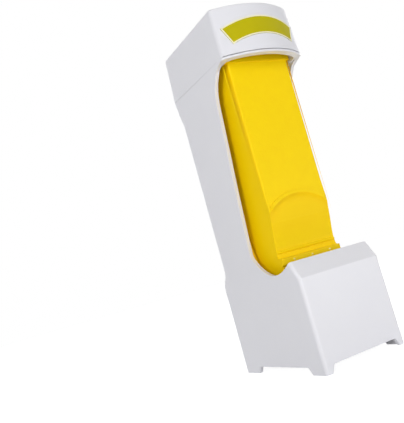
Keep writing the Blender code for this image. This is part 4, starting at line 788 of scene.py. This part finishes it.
@dataclass
class Studio:
    """A pale floor, soft lamps and an even pale world."""

    floor_half: float = 3.0
    floor_colour: Colour = (0.90, 0.90, 0.90)
    floor_roughness: float = 0.9
    floor_shadow: float = 0.42
    floor_glow: float = 1.56
    world_strength: float = 0.295
    lamps: tuple[Lamp, ...] = LAMPS

    def build(self) -> None:
        """Makes the floor, the world and the lamps."""
        self.build_floor()
        self.build_world()
        for lamp in self.lamps:
            lamp.build()
        bpy.context.scene.view_settings.view_transform = "Standard"

    def seen_share(self, tree: bpy.types.ShaderNodeTree, share: float) -> bpy.types.NodeSocket:
        """Masks what the camera sees, directly or in gloss or glass.

        Args:
            tree: The node tree that the mask is added to.
            share: The mask's value for such rays.

        Returns:
            The socket that gives the mask.
        """
        path = tree.nodes.new("ShaderNodeLightPath")
        first = tree.nodes.new("ShaderNodeMath")
        first.operation = "MAXIMUM"
        second = tree.nodes.new("ShaderNodeMath")
        second.operation = "MAXIMUM"
        scaled = tree.nodes.new("ShaderNodeMath")
        scaled.operation = "MULTIPLY"
        scaled.inputs[1].default_value = share
        tree.links.new(path.outputs["Is Camera Ray"], first.inputs[0])
        tree.links.new(path.outputs["Is Glossy Ray"], first.inputs[1])
        tree.links.new(first.outputs[0], second.inputs[0])
        tree.links.new(path.outputs["Is Transmission Ray"], second.inputs[1])
        tree.links.new(second.outputs[0], scaled.inputs[0])
        return scaled.outputs[0]

    def build_floor(self) -> None:
        """Makes the floor, which shows white but keeps the object's shadow."""
        bpy.ops.object.select_all(action="DESELECT")
        bpy.ops.mesh.primitive_plane_add(size=2 * self.floor_half, location=(0.0, 0.0, 0.0))
        floor = bpy.context.active_object
        floor.name = "floor"
        material = bpy.data.materials.new("floor")
        material.use_nodes = True
        tree = material.node_tree
        shader = tree.nodes["Principled BSDF"]
        shader.inputs["Base Color"].default_value = (*self.floor_colour, 1.0)
        shader.inputs["Roughness"].default_value = self.floor_roughness
        white = tree.nodes.new("ShaderNodeEmission")
        white.inputs["Strength"].default_value = self.floor_glow
        mix = tree.nodes.new("ShaderNodeMixShader")
        tree.links.new(self.seen_share(tree, 1.0 - self.floor_shadow), mix.inputs["Fac"])
        tree.links.new(shader.outputs["BSDF"], mix.inputs[1])
        tree.links.new(white.outputs["Emission"], mix.inputs[2])
        tree.links.new(mix.outputs["Shader"], tree.nodes["Material Output"].inputs["Surface"])
        floor.data.materials.append(material)

    def build_world(self) -> None:
        """Makes a world that lights evenly and shows white to the camera and in reflections."""
        world = bpy.data.worlds.new("pale_world")
        bpy.context.scene.world = world
        world.use_nodes = True
        tree = world.node_tree
        light = tree.nodes["Background"]
        light.inputs["Color"].default_value = (1.0, 1.0, 1.0, 1.0)
        light.inputs["Strength"].default_value = self.world_strength
        shown = tree.nodes.new("ShaderNodeBackground")
        shown.inputs["Color"].default_value = (1.0, 1.0, 1.0, 1.0)
        mix = tree.nodes.new("ShaderNodeMixShader")
        tree.links.new(self.seen_share(tree, 1.0), mix.inputs["Fac"])
        tree.links.new(light.outputs["Background"], mix.inputs[1])
        tree.links.new(shown.outputs["Background"], mix.inputs[2])
        tree.links.new(mix.outputs["Shader"], tree.nodes["World Output"].inputs["Surface"])


@dataclass
class Paints:
    """The materials, one for each slot and one for each extra finish."""

    by_slot: dict[Slot, bpy.types.Material] = field(default_factory=dict)
    extra: dict[str, bpy.types.Material] = field(default_factory=dict)

    def mix(self) -> None:
        """Makes every material."""
        self.by_slot = {slot: finish.material() for slot, finish in FINISHES.items()}
        self.extra = {finish.name: finish.material() for finish in (BORDER_FINISH, PIP_FINISH)}

    def put(self, piece: bpy.types.Object, slot: Slot, finish: str = "") -> None:
        """Gives a piece its only material: its slot's own, or an extra finish by name."""
        piece.data.materials.clear()
        piece.data.materials.append(self.extra[finish] if finish else self.by_slot[slot])

    def settle(
        self, piece: bpy.types.Object, body: Body, slot: Slot, *nodes: str, finish: str = ""
    ) -> None:
        """Finishes a new piece: its material, the body it rides on and the nodes it stands for.

        Args:
            piece: The piece.
            body: The body that it moves with.
            slot: The record's slot that it belongs to.
            nodes: The CAD nodes that it replaces.
            finish: The name of an extra finish, where the slot's own isn't used.
        """
        self.put(piece, slot, finish)
        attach(piece, body.value)
        if nodes:
            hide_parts(*nodes)
        LOG.info("%s: %d faces on %s", piece.name, len(piece.data.polygons), body.value)


@dataclass
class Housing:
    """The white shell, with its window's rim, collar and feet rounded as moulded edges are."""

    half_width: float = 0.031
    inner_half: float = 0.0286
    foot_height: float = 0.006
    collar_bottom: float = 0.1912
    body_top: float = 0.1935
    rim_round: float = 0.0006
    rim_back: float = -0.0005
    rim_foot: float = 0.076
    rim_heights: Line = (0.0, 0.080, 0.115, 0.137, 0.153, 0.165, 0.176, 0.184, 0.1890, 0.1911)
    rim_setback: Line = (0.0, 0.0, 0.0007, 0.0010, 0.0017, 0.0025, 0.0037, 0.0047, 0.0043, 0.0)
    inner_rim_round: float = 0.0004
    inner_rim_back: float = 0.02
    inner_rim_foot: float = 0.05
    foot_round: float = 0.0004
    collar_round: float = 0.0004
    collar_back: float = -0.025
    collar_drop: float = 0.0005
    collar_rise: float = 0.0004
    lip_back: float = -0.0285
    lip_reach: float = 0.0006
    back_from: float = 0.0315
    back_heights: Line = (0.168, 0.176, 0.1856, 0.1930)
    back_setback: Line = (0.0, 0.0011, 0.0014, 0.0)

    def build(self, paints: Paints) -> None:
        """Makes the refined shell.

        Args:
            paints: The materials.
        """
        shell = merged_copy("housing", "housing_shell")
        self.set_back_rim(shell)
        round_edges(shell, self.rim_round, steps=3, wanted=self.on_outer_rim)
        round_edges(shell, self.inner_rim_round, steps=2, wanted=self.on_inner_rim)
        round_edges(shell, self.foot_round, steps=2, wanted=self.on_foot)
        round_edges(shell, self.collar_round, steps=3, wanted=self.on_collar)
        self.thin_collar(shell)
        smooth(shell)
        paints.settle(shell, Body.HOUSING, Slot.WHITE_SHELL, "housing")

    def set_back_rim(self, shell: bpy.types.Object) -> None:
        """Moves the rim back, most of all below the collar, and eases the back's bend.

        Args:
            shell: The shell.
        """
        with editing(shell, "VERT") as mesh:
            for point in mesh.verts:
                at = point.co
                if self.on_wall_front(at):
                    at.y += along(at.z, self.rim_heights, self.rim_setback)
                if at.y > self.back_from and at.z < self.body_top:
                    at.y -= along(at.z, self.back_heights, self.back_setback)
            bmesh.update_edit_mesh(shell.data)

    def thin_collar(self, shell: bpy.types.Object) -> None:
        """Brings the collar's top and bottom closer, and slopes its underside up to the inside.

        Args:
            shell: The shell.
        """
        height = self.body_top - self.collar_bottom
        with editing(shell, "VERT") as mesh:
            for point in mesh.verts:
                at = point.co
                if self.on_wall_top(at):
                    at.z -= self.collar_drop * (at.z - self.collar_bottom) / height
                if at.y < self.lip_back and near(at.z, self.collar_bottom, self.lip_reach):
                    at.z += self.collar_rise
            bmesh.update_edit_mesh(shell.data)

    def on_wall_front(self, at: Vector) -> bool:
        """Tells whether a point belongs to the side walls' front, beside the window."""
        beside = abs(at.x) > self.inner_half - SLACK and at.y < self.rim_back
        return beside and self.rim_foot < at.z < self.rim_heights[-1]

    def on_wall_top(self, at: Vector) -> bool:
        """Tells whether a point belongs to the collar or to the top of the walls' outside."""
        return self.collar_bottom < at.z < self.body_top + SLACK

    def on_outer_rim(self, edge: bmesh.types.BMEdge) -> bool:
        """Tells whether an edge is the window's outer rim."""
        low, high = self.foot_height, self.collar_bottom
        return both_ends(edge, lambda at: near(abs(at.x), self.half_width) and low < at.z < high)

    def on_inner_rim(self, edge: bmesh.types.BMEdge) -> bool:
        """Tells whether an edge is the window's inner rim.

        Args:
            edge: The edge.

        Returns:
            Whether both its ends lie there.
        """
        return both_ends(
            edge,
            lambda at: near(abs(at.x), self.inner_half)
            and at.y < self.inner_rim_back
            and self.inner_rim_foot < at.z < self.collar_bottom,
        )

    def on_foot(self, edge: bmesh.types.BMEdge) -> bool:
        """Tells whether an edge lies on the feet or their arches."""
        return both_ends(edge, lambda at: at.z < self.foot_height)

    def on_collar(self, edge: bmesh.types.BMEdge) -> bool:
        """Tells whether an edge lies along the collar's outside."""
        low, high = self.collar_bottom - NEAR, self.body_top + NEAR
        return both_ends(edge, lambda at: low < at.z < high and at.y < self.collar_back)


@dataclass
class Cap:
    """The hood, with soft edges, and the bare olive band let into its front."""

    cap_bottom: float = 0.1938
    edge_round: float = 0.0003
    mouth_reach: float = 0.0010
    mouth_drop: float = 0.0006
    side_from: float = 0.0306
    side_front: float = -0.0300
    side_close: float = 0.00018
    front_from: float = -0.0302
    front_open: float = 0.00036
    band_facing: float = -0.5
    border_width: float = 0.0008
    border_wall: float = 0.00036
    border_offset: float = 0.3
    border_angle: float = 50.0

    def build(self, paints: Paints) -> None:
        """Makes the hood, the band and the band's border.

        Args:
            paints: The materials.
        """
        hood = merged_copy("top_cap", "top_cap_hood")
        round_edges(hood, self.edge_round, steps=2, wanted=self.on_mouth)
        self.lower_mouth(hood)
        smooth(hood)
        paints.settle(hood, Body.CAP, Slot.WHITE_SHELL, "top_cap")
        band = merged_copy("cap_label", "olive_band")
        smooth(band)
        paints.settle(band, Body.CAP, Slot.LABEL, "cap_label")
        paints.settle(self.border(), Body.CAP, Slot.LABEL, finish=BORDER_FINISH.name)

    def on_mouth(self, edge: bmesh.types.BMEdge) -> bool:
        """Tells whether an edge lies round the hood's mouth."""
        return both_ends(edge, lambda at: near(at.z, self.cap_bottom))

    def lower_mouth(self, hood: bpy.types.Object) -> None:
        """Brings the mouth down to the collar, least in front and most where the sides start.

        Args:
            hood: The hood.
        """
        with editing(hood, "VERT") as mesh:
            for point in mesh.verts:
                at = point.co
                if at.z < self.cap_bottom + self.mouth_reach:
                    at.z -= self.mouth_drop
                    if abs(at.x) > self.side_from and self.side_front < at.y < 0.0:
                        at.z -= self.side_close
                    if at.y < self.front_from:
                        at.z += self.front_open
            bmesh.update_edit_mesh(hood.data)

    def border(self) -> bpy.types.Object:
        """Makes the thin raised border along the band's edge.

        Returns:
            The border, as its own piece.
        """
        ring = merged_copy("cap_label", "band_border")
        with editing(ring, "FACE") as mesh:
            for face in mesh.faces:
                face.select_set(face.normal.y > self.band_facing)
            bmesh.update_edit_mesh(ring.data)
            bpy.ops.mesh.delete(type="FACE")
            bpy.ops.mesh.select_all(action="SELECT")
            bpy.ops.mesh.inset(thickness=self.border_width, depth=0.0)
            bpy.ops.mesh.delete(type="FACE")
        wall = ring.modifiers.new("wall", "SOLIDIFY")
        wall.thickness = self.border_wall
        wall.offset = self.border_offset
        make_active(ring)
        bpy.ops.object.modifier_apply(modifier=wall.name)
        smooth(ring, self.border_angle)
        return ring


@dataclass
class Handle:
    """The yellow squeeze handle, its waist bead, and the polished pips on its bar."""

    half_width: float = 0.0232
    bead_radius: float = 0.0012
    bead_round: float = 0.00072
    bead_inset: float = 0.0002
    bead_sides: int = 24
    bead_place: tuple[float, float] = (-0.0181, 0.0716)
    bar_round: float = 0.0005
    bar_front: float = -0.0200
    bar_heights: tuple[float, float] = (0.0630, 0.0680)
    band_round: float = 0.0006
    band_middle: float = 0.0712
    band_radii: tuple[float, float] = (0.033, 0.0375)
    band_edge: float = -0.0230
    band_front: float = -0.0231
    band_slack: float = 0.00003
    band_top: float = 0.110
    band_rise: float = 0.0003
    recess_floor: float = -0.0216
    recess_arc_foot: float = 0.0945
    recess_reach: float = 0.0308
    floor_round: float = 0.0030
    floor_bend: float = 3.0
    floor_bend_height: float = 0.08887
    waist_front: float = -0.0205
    dip_heights: Line = (0.0828, 0.0858, 0.08887, 0.0923)
    dip_depths: Line = (0.0, 0.00012, 0.00033, 0.0)
    face_low: float = 0.098
    face_high: float = 0.1924
    face_low_y: float = -0.02270
    face_high_y: float = -0.02404
    edge_reach: float = 0.0003
    edge_growth: float = 4.0
    edge_foot: float = 0.099
    edge_cuts: Line = (0.100, 0.103, 0.106, 0.110)
    head_top: float = 0.2051
    head_front: float = -0.0242
    head_edge: float = -0.0241
    head_proud: float = 0.0003
    head_round: float = 0.00024
    pip_count: int = 3
    pip_pitch: float = 0.0143
    pip_radius: float = 0.0008
    pip_height: float = 0.0005
    pip_sunk: float = 0.0002
    pip_place: tuple[float, float] = (-0.0216, 0.0655)
    pip_sides: int = 20
    pip_rings: int = 12

    def build(self, paints: Paints) -> None:
        """Makes the refined handle, its bead and its pips.

        Args:
            paints: The materials.
        """
        grip = merged_copy("handle", "squeeze_handle")
        self.shape_recess(grip)
        self.soften_long_edges(grip)
        round_edges(
            grip, self.floor_round, steps=6, wanted=self.on_floor_bend, bend=self.floor_bend
        )
        round_edges(grip, self.bar_round, steps=3, wanted=self.on_bar)
        round_edges(grip, self.band_round, steps=3, wanted=self.on_band)
        round_edges(grip, self.head_round, steps=2, wanted=self.on_head)
        smooth(grip)
        paints.settle(grip, Body.HANDLE, Slot.YELLOW_HANDLE, "handle")
        paints.settle(self.bead(), Body.HANDLE, Slot.YELLOW_HANDLE)
        first = self.pip()
        for number in range(self.pip_count):
            dot = self.shifted_copy(first, number * self.pip_pitch) if number else first
            dot.name = f"bar_pip_{number + 1}"
            paints.settle(dot, Body.HANDLE, Slot.YELLOW_HANDLE, finish=PIP_FINISH.name)

    def shape_recess(self, grip: bpy.types.Object) -> None:
        """Slopes the recess's upper wall, eases its floor, and brings band and head forward.

        Args:
            grip: The handle.
        """
        with editing(grip, "VERT") as mesh:
            for point in mesh.verts:
                at = point.co
                if near(at.y, self.recess_floor, EXACT) and at.z > self.recess_arc_foot:
                    at.z = self.band_middle + math.sqrt(self.recess_reach**2 - at.x**2)
                if near(at.y, self.band_front, self.band_slack) and at.z < self.band_top:
                    at.y -= self.band_rise
                if at.y < self.waist_front:
                    at.y += along(at.z, self.dip_heights, self.dip_depths)
                if self.face_high - SLACK < at.z < self.head_top and at.y < self.head_front:
                    at.y -= self.head_proud
            bmesh.update_edit_mesh(grip.data)

    def soften_long_edges(self, grip: bpy.types.Object) -> None:
        """Widens the rounding of the face's long edges, and narrows it towards the recess.

        Args:
            grip: The handle.
        """
        for height in self.edge_cuts:
            with editing(grip, "FACE"):
                bpy.ops.mesh.select_all(action="SELECT")
                bpy.ops.mesh.bisect(plane_co=(0.0, 0.0, height), plane_no=(0.0, 0.0, 1.0))
        reach = self.edge_reach + EXACT
        with editing(grip, "VERT") as mesh:
            for point in mesh.verts:
                at = point.co
                share = (at.z - self.face_low) / (self.face_high - self.face_low)
                front = self.face_low_y + share * (self.face_high_y - self.face_low_y)
                inward = self.half_width - abs(at.x)
                rounded = -EXACT / 2 < inward < reach and at.y < front + reach
                if rounded and self.edge_foot < at.z < self.face_high + SLACK:
                    ends = (self.edge_foot, self.edge_cuts[-1])
                    growth = along(at.z, ends, (1.0, self.edge_growth))
                    at.x = math.copysign(self.half_width - inward * growth, at.x)
                    at.y = front + (at.y - front) * growth
            bmesh.update_edit_mesh(grip.data)

    def on_head(self, edge: bmesh.types.BMEdge) -> bool:
        """Tells whether an edge lies along the lower front of the handle's wide head."""
        return both_ends(edge, lambda at: near(at.z, self.face_high) and at.y < self.head_edge)

    def on_floor_bend(self, edge: bmesh.types.BMEdge) -> bool:
        """Tells whether an edge is the bend between the recess's floor and the waist."""
        height = self.floor_bend_height
        return both_ends(edge, lambda at: near(at.z, height) and at.y < self.waist_front)

    def on_bar(self, edge: bmesh.types.BMEdge) -> bool:
        """Tells whether an edge lies on the proud bar at the handle's foot."""
        low, high = self.bar_heights
        return both_ends(edge, lambda at: at.y < self.bar_front and low < at.z < high)

    def on_band(self, edge: bmesh.types.BMEdge) -> bool:
        """Tells whether an edge lies on the raised band above the recess.

        Args:
            edge: The edge.

        Returns:
            Whether both its ends lie there.
        """
        low, high = self.band_radii
        middle = (0.0, self.band_middle)
        return both_ends(
            edge,
            lambda at: at.y < self.band_edge and low < math.dist((at.x, at.z), middle) < high,
        )

    def bead(self) -> bpy.types.Object:
        """Makes the rounded bead across the handle's waist.

        Returns:
            The bead, as its own piece.
        """
        bpy.ops.object.select_all(action="DESELECT")
        y, z = self.bead_place
        bpy.ops.mesh.primitive_cylinder_add(
            vertices=self.bead_sides,
            radius=self.bead_radius,
            depth=2 * (self.half_width - self.bead_inset),
            location=(0.0, y, z),
            rotation=(0.0, math.radians(90), 0.0),
        )
        bead = bpy.context.active_object
        bead.name = "waist_bead"
        bpy.ops.object.transform_apply(location=True, rotation=True, scale=True)
        round_edges(bead, self.bead_round, steps=4, wanted=lambda edge: True)
        smooth(bead, ROUND_ANGLE)
        return bead

    def pip(self) -> bpy.types.Object:
        """Makes the pip at the left of the bar: a low polished dome.

        Returns:
            The pip, as its own piece.
        """
        bpy.ops.object.select_all(action="DESELECT")
        y, z = self.pip_place
        bpy.ops.mesh.primitive_uv_sphere_add(
            segments=self.pip_sides,
            ring_count=self.pip_rings,
            radius=self.pip_radius,
            location=(-self.pip_pitch, y, z),
        )
        dot = bpy.context.active_object
        dot.scale = (1.0, self.pip_height / self.pip_radius, 1.0)
        bpy.ops.object.transform_apply(location=True, rotation=True, scale=True)
        with editing(dot, "FACE"):
            bpy.ops.mesh.select_all(action="SELECT")
            bpy.ops.mesh.bisect(
                plane_co=(0.0, y + self.pip_sunk, 0.0),
                plane_no=(0.0, 1.0, 0.0),
                use_fill=True,
                clear_outer=True,
            )
        smooth(dot, ROUND_ANGLE)
        return dot

    def shifted_copy(self, piece: bpy.types.Object, distance: float) -> bpy.types.Object:
        """Copies a piece, and moves the copy's mesh along X but not its object.

        Args:
            piece: The piece.
            distance: How far the copy's mesh moves.

        Returns:
            The copy.
        """
        twin = piece.copy()
        twin.data = piece.data.copy()
        bpy.context.scene.collection.objects.link(twin)
        with editing(twin, "VERT"):
            bpy.ops.mesh.select_all(action="SELECT")
            bpy.ops.transform.translate(value=(distance, 0.0, 0.0))
        return twin


@dataclass
class ReturnSpring:
    """The coil spring behind the handle, copied as it stands; nothing here shortens it as the
    handle is squeezed.
    """

    joint: str = "handle_squeeze"
    seat: Place = (0.0, -0.0020, 0.1280)
    squeezed_share: float = 0.56

    def build(self, paints: Paints) -> None:
        """Makes the spring.

        Args:
            paints: The materials.
        """
        coil = merged_copy("return_spring", "coil_spring")
        smooth(coil, ROUND_ANGLE)
        paints.settle(coil, Body.HOUSING, Slot.SPRING_STEEL, "return_spring")
        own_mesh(coil)


@dataclass
class CarriedOver:
    """CAD nodes whose shape is right and which only get their finishes."""

    def dress(self, paints: Paints) -> None:
        """Gives every CAD node the material of its slot."""
        for part in frame["record"]["subparts"]:
            paints.put(frame["nodes"][part["node"]], Slot(part["material_slot"]))


def main() -> None:
    """Builds the studio and the pieces in order."""
    logging.basicConfig(level=logging.INFO, format="%(name)s: %(message)s")
    StudioCamera().build()
    Studio().build()
    paints = Paints()
    paints.mix()
    CarriedOver().dress(paints)
    Housing().build(paints)
    Cap().build(paints)
    Handle().build(paints)
    ReturnSpring().build(paints)


if __name__ == "__main__":
    main()
